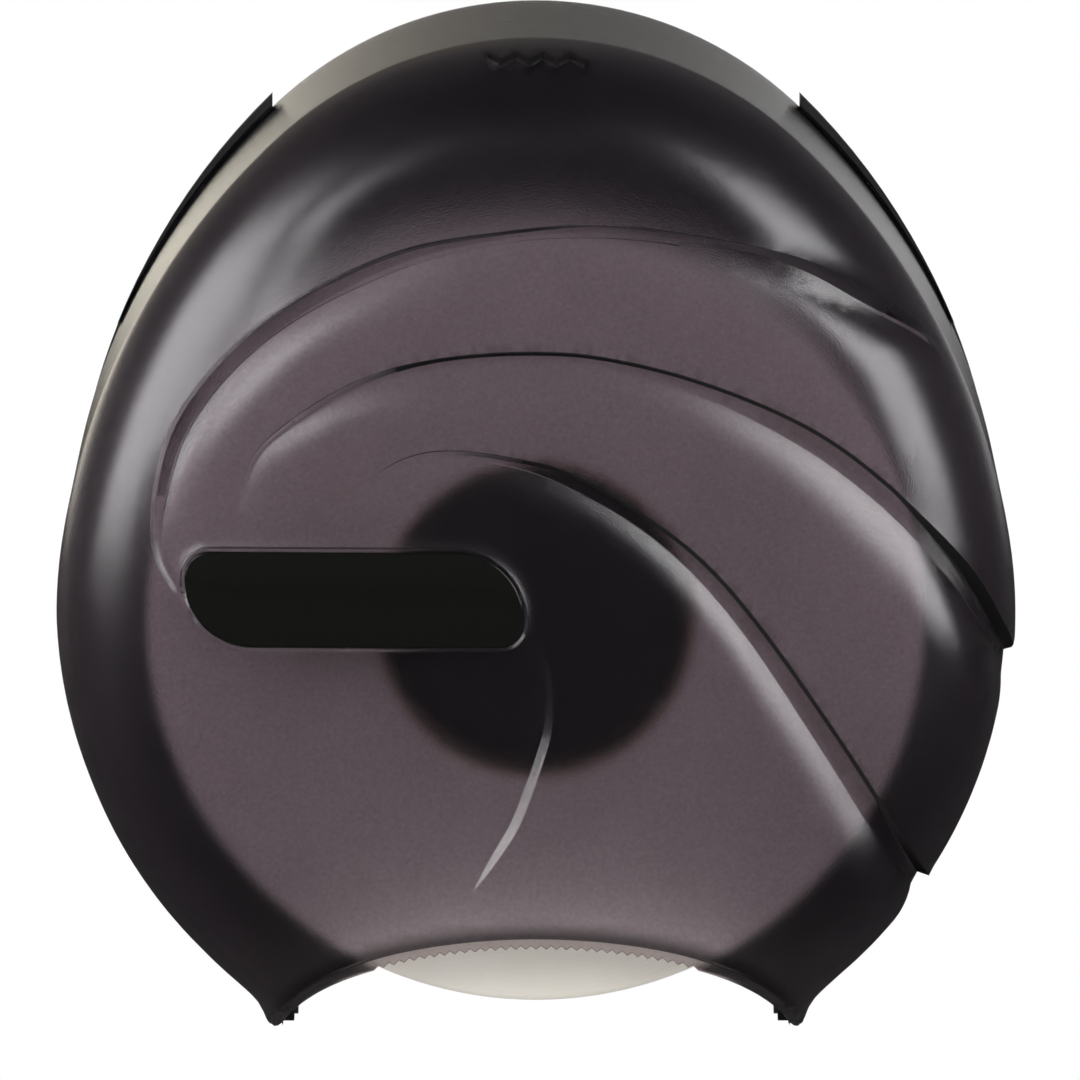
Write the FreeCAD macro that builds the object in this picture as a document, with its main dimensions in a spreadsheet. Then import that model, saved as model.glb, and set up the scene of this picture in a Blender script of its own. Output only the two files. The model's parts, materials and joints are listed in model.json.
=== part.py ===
import FreeCAD, Part
import math
import os
import Sketcher

# Wall-mounted bath tissue dispenser for one jumbo roll, in millimetres.
# Origin: where the spindle axis meets the wall. +X right, +Y into the wall, +Z up.
# "start" and "end" below are distances forward of the wall, so they run along -Y.

Vector = FreeCAD.Vector
FORWARD = FreeCAD.Rotation(Vector(1, 0, 0), 90)
SIDEWAYS = FreeCAD.Rotation(Vector(0, 1, 0), 90)

SIZES = {
    # Roll and its core
    "roll_radius": 104,
    "roll_width": 89,
    "core_radius": 41.3,
    "core_wall": 1.4,
    # Cover outline at its rear edge: a lower circle round the roll, a narrower crown above
    # it and two wider shoulders, all tangent
    "roll_room": 28.5,
    "crown_rise": 52.5,
    "crown_narrowing": 26,
    "shoulder_swell": 57.5,
    # Cover form
    "front_room": 27.3,
    "cover_wall": 3.2,
    "cover_gap": 0.5,
    "face_radius": 1400,
    "edge_round": 28,
    "draft_angle": 2,
    # Wave relief
    "relief_depth": 1.6,
    "groove_reach": 55,
    "groove_turn": 100,
    # Arched paper mouth with its tear lip
    "mouth_height": 47,
    "mouth_margin": 2,
    "arch_radius": 172,
    "arch_end_radius": 42,
    "arch_end_turn": 75,
    "arch_slope": 10,
    "lip_height": 3.3,
    "teeth_margin": 8.8,
    "tooth_pitch": 2.7,
    "tooth_depth": 1,
    # Key slot over the latch
    "key_half_length": 13.5,
    "key_legs": 7,
    "key_wave": 3.2,
    "key_width": 1.1,
    "key_tilt": 32,
    # Badge let into the cover's face
    "badge_middle": 48,
    "badge_rise": 8.8,
    "badge_half_length": 45,
    "badge_half_height": 12.8,
    "badge_sharp_corner": 6.5,
    "badge_end_flat": 1,
    "badge_clearance": 0.15,
    # Back plate
    "plate_thick": 3,
    "plate_inset": 1.5,
    "outlet_room": 2,
    "flange_clearance": 0.7,
    "flange_lift": 6.4,
    "flange_inset": 1.8,
    "flange_reach": 14,
    "flange_inner": 74,
    "flange_low": 45,
    "rim_clearance": 0.8,
    "rim_thick": 2.2,
    "rim_reach": 11,
    "rim_drop": 30,
    "rib_half_thick": 1.5,
    "rib_reach": 10,
    "ring_rib_inset": 8,
    # Wall screw holes
    "hole_half_x": 60,
    "hole_half_z": 60,
    "hole_radius": 2.75,
    "pad_radius": 8,
    "pad_reach": 7,
    # Spindle
    "boss_radius": 22,
    "boss_reach": 22,
    "shaft_radius": 6,
    "seat_depth": 12,
    "shaft_tip": 2.2,
    "tap_depth": 16,
    "screw_radius": 3,
    "screw_clearance": 0.3,
    "screw_grip": 13,
    "head_radius": 5,
    "head_height": 3.2,
    "head_recess": 5,
    "head_clearance": 1,
    "socket_radius": 2.6,
    "socket_depth": 1.8,
    "washer_thick": 0.8,
    "thrust_radius": 15,
    "thrust_thick": 1.5,
    "run_gap": 0.2,
    "run_fit": 0.06,
    "groove_depth": 1.2,
    "ring_radius": 10,
    "ring_thick": 1.2,
    "ring_mouth": 4.2,
    # Core hub
    "hub_wall": 2.5,
    "hub_setback": 3,
    "hub_flange_lip": 9.3,
    "hub_flange_thick": 3,
    "tube_wall": 3.5,
    "web_thick": 3,
    "hub_rib_count": 6,
    "hub_rib_height": 2.1,
    "hub_rib_half_thick": 2,
    "core_slip": 0.2,
    "bush_wall": 3,
    "bush_length": 12,
    "cap_clearance": 0.15,
    "cap_wall": 2,
    "cap_height": 9,
    "cap_recess": 2.7,
    # Cover hinge: two tails of the cover beside two ears of the plate
    "tail_angle": 33.12,
    "tail_drop": 13.01,
    "hinge_pin_radius": 2,
    "hinge_fit": 0.08,
    "lug_radius": 8,
    "lug_room": 3,
    "lug_thick": 4,
    "lug_flare": 12,
    "lug_overlap": 6,
    "ear_gap": 0.6,
    "ear_thick": 3.2,
    "ear_radius": 5.5,
    "ear_overlap": 16,
    "ear_slot_room": 12,
    "pin_recess": 0.6,
    "pin_head_radius": 3.5,
    "pin_head_thick": 1.2,
    # Latch lever
    "pivot_start": 20,
    "pivot_drop": 21,
    "pivot_radius": 2,
    "pivot_fit": 0.08,
    "bracket_thick": 3.5,
    "bracket_gap": 0.6,
    "bracket_below": 9,
    "bracket_above": 7,
    "bracket_round": 7,
    "lever_half_width": 12,
    "lever_barrel": 5,
    "lever_above": 3,
    "lever_below": 1,
    "lever_length": 95,
    "lever_slope": 7.8,
    "lever_edge": 2,
    "lever_edge_height": 2.5,
    "nose_start": 43,
    "nose_thick": 4,
    "nose_height": 11.2,
    "catch_half_width": 12,
    "catch_thick": 3,
    "catch_gap": 2.6,
    "catch_drop": 13.4,
    # Latch spring and its ledge
    "ledge_half_width": 9,
    "ledge_drop": 18,
    "ledge_thick": 3,
    "ledge_margin": 3,
    "spring_arm": 25,
    "spring_radius": 4,
    "spring_wire": 0.45,
    "spring_turns": 6,
    "spring_gap": 0.3,
    "peg_clearance": 0.75,
    "peg_height": 4,
}

# Sizes that follow from those above.
WORKED_OUT = {
    "lower_radius": "roll_radius + roll_room",
    "crown_radius": "lower_radius - crown_narrowing",
    "shoulder_radius": "lower_radius + shoulder_swell",
    "cover_top": "crown_rise + crown_radius",
    "hub_start": "boss_reach + thrust_thick + run_gap",
    "roll_start": "hub_start + hub_flange_thick",
    "cover_depth": "roll_start + roll_width + front_room",
    "groove_start": "cover_depth - groove_reach",
    "arch_height": "lower_radius - mouth_height",
    "outlet_height": "roll_radius + outlet_room",
    "ring_rib_radius": "roll_radius - ring_rib_inset",
    "hub_radius": "core_radius - core_slip - hub_rib_height",
    "hub_flange_radius": "core_radius + core_wall + hub_flange_lip",
    "hub_length": "hub_flange_thick + roll_width - hub_setback",
    "bush_radius": "shaft_radius + bush_wall",
    "tube_radius": "bush_radius + tube_wall",
    "tube_length": "hub_length - cap_height - cap_recess",
    "tube_end": "hub_start + tube_length",
    "ring_start": "tube_end + run_gap + thrust_thick",
    "lug_inner": "lower_radius * sin(tail_angle)",
    "hinge_drop": "lower_radius * cos(tail_angle) + tail_drop",
    "hinge_start": "plate_thick + lug_room + lug_radius",
    "lug_root": "hinge_drop - lug_radius - lug_flare - lug_overlap",
    "ear_root": "hinge_drop - lug_radius - ear_overlap",
    "ear_slot_end": "hinge_start + lug_radius + ear_slot_room",
    "pivot_height": "cover_top - pivot_drop",
    "catch_height": "cover_top - catch_drop",
    "ledge_height": "pivot_height - ledge_drop",
    "spring_start": "pivot_start + spring_arm",
    "ledge_end": "spring_start + spring_radius + ledge_margin",
    "peg_radius": "spring_radius - spring_wire - peg_clearance",
}

# Crest lines of the raised waves on the cover's face, from the left end to beyond the
# right edge, as shares of the cover's lower radius, with the widest groove beside each.
WAVES = {
    "upper_wave": ([(-0.71, 0.13), (-0.74, 0.29), (-0.61, 0.54), (-0.27, 0.755),
                    (0.13, 0.817), (0.53, 0.756), (0.82, 0.58), (1.02, 0.36)], 6),
    "middle_wave": ([(-0.58, 0.27), (-0.45, 0.44), (-0.19, 0.545), (0.13, 0.549),
                     (0.53, 0.398), (0.85, 0.125), (1.02, -0.14)], 5.5),
    "lower_wave": ([(-0.33, 0.3), (-0.17, 0.353), (0.07, 0.317), (0.33, 0.125),
                    (0.59, -0.227), (0.77, -0.5), (0.9, -0.66)], 5.5),
    "short_wave": ([(-0.02, 0.02), (0.025, -0.117), (0.0, -0.22), (-0.05, -0.36),
                    (-0.13, -0.53)], 2.5),
}

doc = FreeCAD.newDocument("bath_tissue_dispenser")
sheet = doc.addObject("Spreadsheet::Sheet", "dims")
formulas = {alias: f"={formula}" for alias, formula in WORKED_OUT.items()}
for row, (alias, content) in enumerate({**SIZES, **formulas}.items(), start=1):
    sheet.set(f"A{row}", alias)
    sheet.setAlias(f"B{row}", alias)
    sheet.set(f"B{row}", str(content))
doc.recompute()


def size(alias):
    """Read one driving size from the sheet."""
    return float(sheet.get(alias))


def total(text):
    """Add up a spaced sum of sizes such as "plate_thick + cover_gap"."""
    amount, sign = 0.0, 1
    for word in text.split():
        if word in ("+", "-"):
            sign = 1 if word == "+" else -1
        else:
            amount += sign * (0.0 if word == "none" else size(word))
    return amount


def bound(text):
    """The same sum as an expression on the sheet."""
    words = []
    for word in text.split():
        words.append(word if word in ("+", "-") else "0" if word == "none" else f"dims.{word}")
    return "(" + " ".join(words) + ")"


def bind(thing, **sums):
    """Tie properties of a feature to sums of sizes."""
    for prop, text in sums.items():
        thing.setExpression(prop, bound(text))
    return thing


def place(thing, turn, right, forward, height):
    """Turn a primitive and tie its place to sums of sizes."""
    thing.Placement = FreeCAD.Placement(Vector(), turn)
    thing.setExpression("Placement.Base.x", bound(right))
    thing.setExpression("Placement.Base.y", "-" + bound(forward))
    thing.setExpression("Placement.Base.z", bound(height))
    return thing


def disc(name, radius, start, length, right="none", height="none"):
    """Cylinder along the spindle's direction."""
    part = bind(doc.addObject("Part::Cylinder", name), Radius=radius, Height=length)
    return place(part, FORWARD, right, start, height)


def cross_bar(name, radius, left, right, start, height):
    """Cylinder along X."""
    part = bind(doc.addObject("Part::Cylinder", name), Radius=radius)
    part.setExpression("Height", f"{bound(right)} - {bound(left)}")
    return place(part, SIDEWAYS, left, start, height)


def block(name, left, right, start, end, low, high):
    """Box between two sides, two distances from the wall and two heights."""
    part = doc.addObject("Part::Box", name)
    part.setExpression("Length", f"{bound(right)} - {bound(left)}")
    part.setExpression("Width", f"{bound(end)} - {bound(start)}")
    part.setExpression("Height", f"{bound(high)} - {bound(low)}")
    return place(part, FreeCAD.Rotation(), left, end, low)


def cut(name, base, tool):
    part = doc.addObject("Part::Cut", name)
    part.Base, part.Tool = base, tool
    return part


def common(name, base, tool):
    part = doc.addObject("Part::Common", name)
    part.Base, part.Tool = base, tool
    return part


def fuse(name, *pieces):
    part = doc.addObject("Part::MultiFuse", name)
    part.Shapes = list(pieces)
    return part


def mirror(name, source):
    """Copy on the other side of the dispenser's middle plane."""
    part = doc.addObject("Part::Mirroring", name)
    part.Source = source
    part.Base, part.Normal = Vector(), Vector(1, 0, 0)
    return part


def tube(name, outer, inner, start, length):
    return cut(name, disc(f"{name}_outside", outer, start, length),
               disc(f"{name}_bore", inner, start, length))


def solid(name, shape):
    """Feature for a shape that no sketch or primitive gives."""
    part = doc.addObject("Part::Feature", name)
    part.Shape = shape
    return part


# Sketches


def new_sketch(body, name, role):
    sketch = body.newObject("Sketcher::SketchObject", name)
    plane = next(item for item in body.Origin.OriginFeatures if item.Role == role)
    sketch.AttachmentSupport = [(plane, "")]
    sketch.MapMode = "FlatFace"
    return sketch


def hold(sketch, name, expression, *constraint):
    """Add a named dimension to a sketch and tie it to the sheet."""
    index = sketch.addConstraint(Sketcher.Constraint(*constraint))
    sketch.renameConstraint(index, name)
    sketch.setExpression(f"Constraints.{name}", expression)


def sketch_circle(sketch, name, radius):
    """Circle round the sketch's origin."""
    amount = total(radius)
    ring = sketch.addGeometry(Part.Circle(Vector(), Vector(0, 0, 1), amount), False)
    sketch.addConstraint(Sketcher.Constraint("Coincident", ring, 3, -1, 1))
    hold(sketch, name, bound(radius), "Radius", ring, amount)


def sketch_polygon(sketch, corners):
    """Closed run of lines whose corners are pairs of sums of sizes."""
    points = [Vector(total(across), total(along), 0) for across, along in corners]
    last = len(points) - 1
    for index, point in enumerate(points):
        sketch.addGeometry(Part.LineSegment(point, points[(index + 1) % len(points)]), False)
    for index, (across, along) in enumerate(corners):
        following = 0 if index == last else index + 1
        sketch.addConstraint(Sketcher.Constraint("Coincident", index, 2, following, 1))
        hold(sketch, f"across{index}", bound(across), "DistanceX", -1, 1, index, 1, total(across))
        hold(sketch, f"along{index}", bound(along), "DistanceY", -1, 1, index, 1, total(along))


def add_pad(body, name, sketch, length):
    pad = body.newObject("PartDesign::Pad", name)
    pad.Profile = sketch
    return bind(pad, Length=length)


def sketch_outline(body, name, inset):
    """The egg outline drawn in by an inset: lower circle, crown and two shoulders."""
    sketch = new_sketch(body, name, "XZ_Plane")
    rise = size("crown_rise")
    to_lower = size("shoulder_radius") - size("lower_radius")
    to_crown = size("shoulder_radius") - size("crown_radius")
    drop = (to_lower ** 2 - to_crown ** 2 + rise ** 2) / (2 * rise)
    across = math.sqrt(to_lower ** 2 - drop ** 2)
    low = math.atan2(-drop, across)
    high = math.atan2(rise - drop, across)
    arcs = [(0, 0, "lower_radius", math.pi - low, 2 * math.pi + low),
            (-across, drop, "shoulder_radius", low, high),
            (0, rise, "crown_radius", high, math.pi - high),
            (across, drop, "shoulder_radius", math.pi - high, math.pi - low)]
    for right, up, alias, first, last in arcs:
        circle = Part.Circle(Vector(right, up, 0), Vector(0, 0, 1), size(alias) - total(inset))
        sketch.addGeometry(Part.ArcOfCircle(circle, first, last), False)
    for index in range(4):
        sketch.addConstraint(Sketcher.Constraint("Tangent", index, 2, (index + 1) % 4, 1))
    sketch.addConstraint(Sketcher.Constraint("Coincident", 0, 3, -1, 1))
    sketch.addConstraint(Sketcher.Constraint("PointOnObject", 2, 3, -2))
    sketch.addConstraint(Sketcher.Constraint("Equal", 1, 3))
    for index, alias in enumerate(("lower_radius", "shoulder_radius", "crown_radius")):
        hold(sketch, alias, f"dims.{alias} - {bound(inset)}", "Radius", index,
             size(alias) - total(inset))
    hold(sketch, "rise", "dims.crown_rise", "DistanceY", -1, 1, 2, 3, rise)
    return sketch


def outline_slab(name, inset, start, length, lift="none"):
    """Straight slab of the egg outline, drawn in by an inset and moved up by a lift."""
    body = doc.addObject("PartDesign::Body", name)
    sketch = sketch_outline(body, f"{name}_outline", inset)
    sketch.setExpression("AttachmentOffset.Base.y", bound(lift))
    sketch.setExpression("AttachmentOffset.Base.z", bound(start))
    add_pad(body, f"{name}_pad", sketch, length)
    return body


# Cover


def cover_form(name, inset):
    """Solid of the cover drawn in by an inset: drafted sides, domed face, rounded edge."""
    body = outline_slab(f"{name}_slab", inset, "plate_thick + cover_gap",
                        "cover_depth - plate_thick - cover_gap")
    body.Tip.setExpression("TaperAngle", "-dims.draft_angle")
    dome = doc.addObject("Part::Sphere", f"{name}_dome")
    dome.setExpression("Radius", f"dims.face_radius - {bound(inset)}")
    dome.setExpression("Placement.Base.y", "dims.face_radius - dims.cover_depth")
    blank = common(f"{name}_blank", body, dome)
    doc.recompute()
    radius = size("edge_round") - total(inset)
    front = -size("cover_depth") + size("edge_round")
    form = doc.addObject("Part::Fillet", name)
    form.Base = blank
    form.Edges = [(index, radius, radius) for index, edge in enumerate(blank.Shape.Edges, start=1)
                  if edge.BoundBox.YMax < front]
    return form


def wave_prism(shares, width):
    """Crescent beside a wave's crest, widening from its left tip as a sine does."""
    unit = size("lower_radius")
    crest = [Vector(across * unit, 0, up * unit) for across, up in shares]
    outer = Part.BSplineCurve()
    outer.interpolate(crest)
    turn = math.radians(size("groove_turn")) / (len(crest) - 1)
    foot = []
    for index, point in enumerate(crest):
        along = outer.tangent(outer.parameter(point))[0]
        inward = Vector(along.z, 0, -along.x)
        foot.append(point + inward * width * math.sin(turn * index))
    inner = Part.BSplineCurve()
    inner.interpolate(foot)
    closing = Part.LineSegment(crest[-1], foot[-1])
    wire = Part.Wire([outer.toShape(), closing.toShape(), inner.toShape().reversed()])
    face = Part.Face(wire)
    face.translate(Vector(0, -size("groove_start"), 0))
    return face.extrude(Vector(0, size("groove_start") - size("cover_depth"), 0))


def badge_prism(inset):
    """Plate with two sharp and two round corners, right through the cover's face."""
    left = -size("badge_middle") - size("badge_half_length") + inset
    right = -size("badge_middle") + size("badge_half_length") - inset
    low = size("badge_rise") - size("badge_half_height") + inset
    high = size("badge_rise") + size("badge_half_height") - inset
    sharp = size("badge_sharp_corner") - inset
    soft = high - low - sharp - size("badge_end_flat")
    corners = [(right, high, soft, 0), (left, high, sharp, 90),
               (left, low, soft, 180), (right, low, sharp, 270)]
    edges, last = [], None
    for across, up, radius, turn in corners:
        towards_x = -1 if across == right else 1
        towards_z = -1 if up == high else 1
        middle = Vector(across + towards_x * radius, 0, up + towards_z * radius)
        marks = []
        for angle in (turn, turn + 45, turn + 90):
            spoke = math.radians(angle)
            marks.append(middle + Vector(math.cos(spoke), 0, math.sin(spoke)) * radius)
        if last is not None:
            edges.append(Part.LineSegment(last, marks[0]).toShape())
        edges.append(Part.Arc(*marks).toShape())
        last = marks[2]
    edges.append(Part.LineSegment(last, edges[0].Vertexes[0].Point).toShape())
    return Part.Face(Part.Wire(edges)).extrude(Vector(0, -size("cover_depth"), 0))


def arch_prism(lift, toothed):
    """The mouth below the arched lip, sloping down towards the wall."""
    radius, end_radius = size("arch_radius"), size("arch_end_radius")
    steep = math.radians(size("arch_end_turn"))
    foot_right = total("lug_inner + lug_thick + mouth_margin")
    end_right = foot_right - end_radius * math.sin(steep)
    lean = math.asin(end_right / (radius - end_radius))
    middle = Vector(0, 0, lift - size("arch_height") - radius)

    def spoke(angle):
        return Vector(math.sin(angle), 0, math.cos(angle))

    def arc(centre, reach, first, last):
        angles = (first, (first + last) / 2, last)
        return Part.Arc(*[centre + spoke(angle) * reach for angle in angles]).toShape()

    edges, teeth_end = [], 0
    if toothed:
        pitch = size("tooth_pitch") / radius
        teeth = int(2 * (lean - size("teeth_margin") / radius) / pitch)
        teeth_end = pitch * teeth / 2
        marks = [middle + spoke(pitch * step / 2 - teeth_end) * (radius + step % 2 * size("tooth_depth"))
                 for step in range(2 * teeth + 1)]
        edges = Part.makePolygon(marks).Edges
    end_middle = middle + spoke(lean) * (radius - end_radius)
    end = end_middle + spoke(steep) * end_radius
    foot = Vector(foot_right, 0, -total("lower_radius + lug_radius"))
    right = [arc(middle, radius, teeth_end, lean), arc(end_middle, end_radius, lean, steep),
             Part.LineSegment(end, foot).toShape(),
             Part.LineSegment(foot, Vector(0, 0, foot.z)).toShape()]
    left = [edge.mirror(Vector(), Vector(1, 0, 0)) for edge in right]
    face = Part.Face(Part.Wire(Part.sortEdges(edges + right + left)[0]))
    depth = size("cover_depth")
    fall = math.tan(math.radians(size("arch_slope")))
    face.translate(Vector(0, -depth, 0))
    return face.extrude(Vector(0, depth, -fall * depth))


def key_prism():
    """Zigzag key slot, square to the rounding between the cover's top and face."""
    half, wave, width = size("key_half_length"), size("key_wave"), size("key_width")
    legs = round(size("key_legs"))
    upper, lower = [], []
    for index in range(legs + 1):
        across = -half + 2 * half * index / legs
        along = wave / 2 if index % 2 else -wave / 2
        upper.append(Vector(across, along - width / 2, 0))
        lower.append(Vector(across, along + width / 2, 0))
    ring = Part.makePolygon(upper + lower[::-1] + upper[:1])
    reach = size("edge_round") / 2
    prism = Part.Face(ring).extrude(Vector(0, 0, 2 * reach))
    tilt = math.radians(size("key_tilt"))
    start = size("cover_depth") - size("edge_round")
    top = size("cover_top") - size("edge_round")
    top -= start * math.tan(math.radians(size("draft_angle")))
    radius = size("edge_round") - reach
    prism.rotate(Vector(), Vector(1, 0, 0), size("key_tilt"))
    prism.translate(Vector(0, -start - radius * math.sin(tilt), top + radius * math.cos(tilt)))
    return prism


def lug_front():
    """Tail of the cover seen from the front: flared at its root, straight at its tip."""
    inner, outer = size("lug_inner"), total("lug_inner + lug_thick")
    flare = size("lug_flare")
    low = -total("hinge_drop + lug_radius")
    neck = Vector(outer, 0, size("lug_radius") - size("hinge_drop"))
    shelf = neck + Vector(flare, 0, flare)
    high = -size("lug_root")
    middle = neck + Vector(flare, 0, 0) + Vector(-flare, 0, flare) * math.sqrt(0.5)
    round_side = [shelf, Vector(shelf.x, 0, high), Vector(inner, 0, high), Vector(inner, 0, low),
                  Vector(outer, 0, low), neck]
    edges = [*Part.makePolygon(round_side).Edges, Part.Arc(neck, middle, shelf).toShape()]
    return Part.Face(Part.Wire(edges)).extrude(Vector(0, -size("cover_depth"), 0))


def make_cover():
    """Translucent cover shell and the badge let into its face."""
    outer = cover_form("cover_outside", "none")
    skin_floor = cover_form("cover_skin_floor", "relief_depth")
    inner = cover_form("cover_inside", "cover_wall")
    skin = cut("cover_skin", outer, skin_floor)
    grooves = [common(f"{name}_groove", skin, solid(f"{name}_prism", wave_prism(*wave)))
               for name, wave in WAVES.items()]
    recess = common("badge_recess", skin, solid("badge_outline", badge_prism(0)))
    arch_step = cut("mouth_step", solid("mouth_upper", arch_prism(size("lip_height"), False)),
                    skin_floor)
    mouth = solid("mouth_lower", arch_prism(0, True))
    key = solid("key_slot", key_prism())
    ear_room = block("ear_room", "- lug_inner", "lug_inner", "none", "ear_slot_end",
                     "- lower_radius - lug_radius", "- lug_root")
    shell = cut("cover_cut", cut("cover_hollow", outer, inner),
                fuse("cover_cuts", *grooves, recess, arch_step, mouth, key, ear_room))

    catch_end = "pivot_start + nose_start - catch_gap"
    catch_block = block("catch_block", "- catch_half_width", "catch_half_width",
                        f"{catch_end} - catch_thick", catch_end, "catch_height", "cover_top")
    catch = common("catch_rib", catch_block, skin_floor)

    knuckle = cross_bar("lug_knuckle", "lug_radius", "lug_inner",
                        "lug_inner + lug_thick + lug_flare", "hinge_start", "- hinge_drop")
    neck = block("lug_neck", "lug_inner", "lug_inner + lug_thick + lug_flare",
                 "hinge_start - lug_radius", "hinge_start + lug_radius",
                 "- hinge_drop", "- lug_root")
    profile = common("lug_profile", solid("lug_front", lug_front()),
                     fuse("lug_side", knuckle, neck))
    bore = cross_bar("lug_bore", "hinge_pin_radius + hinge_fit", "lug_inner",
                     "lug_inner + lug_thick", "hinge_start", "- hinge_drop")
    lug = cut("lug_right", cut("lug_outside", profile, inner), bore)
    shell = fuse("cover_shell", shell, catch, lug, mirror("lug_left", lug))

    badge = common("badge", skin, solid("badge_plate", badge_prism(size("badge_clearance"))))
    return [shell, badge]


# Back plate


def make_back_plate():
    """Black wall plate: rim, side flanges, boss, ribs, hinge ears and latch brackets."""
    slab = outline_slab("plate_slab", "plate_inset", "none", "plate_thick")
    wing = outline_slab("flange_wing", "flange_inset", "none", "flange_reach", "flange_lift")
    wing_gap = outline_slab("flange_gap", "- flange_clearance", "plate_thick", "flange_reach")
    band = cut("flange_band", wing, wing_gap)
    side = block("flange_zone", "flange_inner", "lower_radius + flange_lift", "none",
                 "flange_reach", "flange_low", "cover_top + flange_lift")
    flange = common("flange_right", band, side)
    rim_out = "cover_wall + rim_clearance"
    rim = cut("rim_band", outline_slab("rim_outside", rim_out, "plate_thick",
                                       "rim_reach - plate_thick"),
              outline_slab("rim_inside", f"{rim_out} + rim_thick", "plate_thick",
                           "rim_reach - plate_thick"))
    rim_zone = block("rim_zone", "- lower_radius", "lower_radius", "plate_thick", "rim_reach",
                     "- rim_drop", "cover_top")
    rim = common("rim", rim, rim_zone)
    boss = disc("spindle_boss", "boss_radius", "none", "boss_reach")
    ring = cut("ring_rib", disc("ring_rib_outside", "ring_rib_radius", "none", "rib_reach"),
               disc("ring_rib_inside", "ring_rib_radius - rib_half_thick - rib_half_thick",
                    "none", "rib_reach"))
    rib_across = block("rib_across", "- ring_rib_radius", "ring_rib_radius", "none", "rib_reach",
                       "- rib_half_thick", "rib_half_thick")
    rib_up = block("rib_up", "- rib_half_thick", "rib_half_thick", "none", "rib_reach",
                   "- ring_rib_radius", "ring_rib_radius")
    pads, holes = [], []
    for right, height in (("hole_half_x", "hole_half_z"), ("- hole_half_x", "hole_half_z"),
                          ("hole_half_x", "- hole_half_z"), ("- hole_half_x", "- hole_half_z")):
        name = f"wall_hole_{len(pads)}"
        pads.append(disc(f"{name}_pad", "pad_radius", "none", "pad_reach", right, height))
        holes.append(disc(name, "hole_radius", "none", "pad_reach + rib_reach", right, height))

    ear_left = "lug_inner - ear_gap - ear_thick"
    ear_right = "lug_inner - ear_gap"
    ear_knuckle = cross_bar("ear_knuckle", "ear_radius", ear_left, ear_right, "hinge_start",
                            "- hinge_drop")
    ear_neck = block("ear_neck", ear_left, ear_right, "none", "hinge_start + ear_radius",
                     "- hinge_drop", "- ear_root")
    ear_bore = cross_bar("ear_bore", "hinge_pin_radius", ear_left, ear_right, "hinge_start",
                         "- hinge_drop")
    ear = cut("ear_right", fuse("ear_blank", ear_knuckle, ear_neck), ear_bore)

    bracket_left = "lever_half_width + bracket_gap"
    bracket_right = "lever_half_width + bracket_gap + bracket_thick"
    bracket = block("bracket_block", bracket_left, bracket_right, "none",
                    "pivot_start", "pivot_height - bracket_below",
                    "pivot_height + bracket_above")
    bracket_knuckle = cross_bar("bracket_knuckle", "bracket_round", bracket_left, bracket_right,
                                "pivot_start", "pivot_height")
    bracket_bore = cross_bar("bracket_bore", "pivot_radius", bracket_left, bracket_right,
                             "pivot_start", "pivot_height")
    bracket = cut("bracket_right", fuse("bracket_blank", bracket, bracket_knuckle), bracket_bore)
    ledge = block("spring_ledge", "- ledge_half_width", "ledge_half_width", "none", "ledge_end",
                  "ledge_height - ledge_thick", "ledge_height")
    peg = place(bind(doc.addObject("Part::Cylinder", "spring_peg"), Radius="peg_radius",
                     Height="peg_height"),
                FreeCAD.Rotation(), "none", "spring_start", "ledge_height")

    recess = disc("head_recess_cut", "head_radius + head_clearance", "none", "head_recess")
    through = disc("screw_hole", "screw_radius + screw_clearance", "none", "boss_reach")
    seat = disc("shaft_seat", "shaft_radius", "boss_reach - seat_depth", "seat_depth")
    outlet = block("paper_outlet", "- lug_inner + ear_gap + ear_thick",
                   "lug_inner - ear_gap - ear_thick", "none",
                   "boss_reach", "- lower_radius", "- outlet_height")
    blank = fuse("plate_blank", slab, flange, mirror("flange_left", flange), rim, boss, ring,
                 rib_across, rib_up, *pads)
    blank = cut("plate_open", blank, outlet)
    blank = fuse("plate_whole", blank, ear, mirror("ear_left", ear), bracket,
                 mirror("bracket_left", bracket), ledge, peg)
    return cut("back_plate", blank, fuse("plate_cuts", recess, through, seat, *holes))


# Spindle


def make_spindle():
    """Fixed shaft with its screw, washers and retaining ring."""
    shaft_start = "boss_reach - seat_depth"
    bar = disc("shaft_bar", "shaft_radius", shaft_start,
               "ring_start + ring_thick + shaft_tip - boss_reach + seat_depth")
    tap = disc("shaft_tap", "screw_radius", shaft_start, "tap_depth")
    neck = tube("shaft_groove", "shaft_radius", "shaft_radius - groove_depth", "ring_start",
                "ring_thick")
    shaft = cut("spindle_shaft", bar, fuse("shaft_cuts", tap, neck))

    washer_start = "head_recess - washer_thick"
    washer = tube("spindle_washer", "head_radius", "screw_radius + screw_clearance",
                  washer_start, "washer_thick")
    head = disc("screw_head", "head_radius", f"{washer_start} - head_height", "head_height")
    shank = disc("screw_shank", "screw_radius", washer_start,
                 "washer_thick + seat_depth + screw_grip - head_recess")
    socket = bind(doc.addObject("Part::Prism", "screw_socket"), Circumradius="socket_radius",
                  Height="socket_depth")
    socket.Polygon = 6
    place(socket, FORWARD, "none", f"{washer_start} - head_height", "none")
    screw = cut("spindle_screw", fuse("screw_blank", head, shank), socket)

    thrust_bore = "shaft_radius + run_fit"
    thrust_rear = tube("thrust_washer_rear", "thrust_radius", thrust_bore, "boss_reach",
                       "thrust_thick")
    thrust_front = tube("thrust_washer_front", "thrust_radius", thrust_bore,
                        "tube_end + run_gap", "thrust_thick")
    ring = tube("ring_blank", "ring_radius", "shaft_radius - groove_depth", "ring_start",
                "ring_thick")
    mouth = block("ring_mouth_cut", "- ring_mouth", "ring_mouth", "ring_start",
                  "ring_start + ring_thick", "- ring_radius", "none")
    ring = cut("retaining_ring", ring, mouth)
    return [shaft, washer, screw, thrust_rear, thrust_front, ring]


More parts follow.
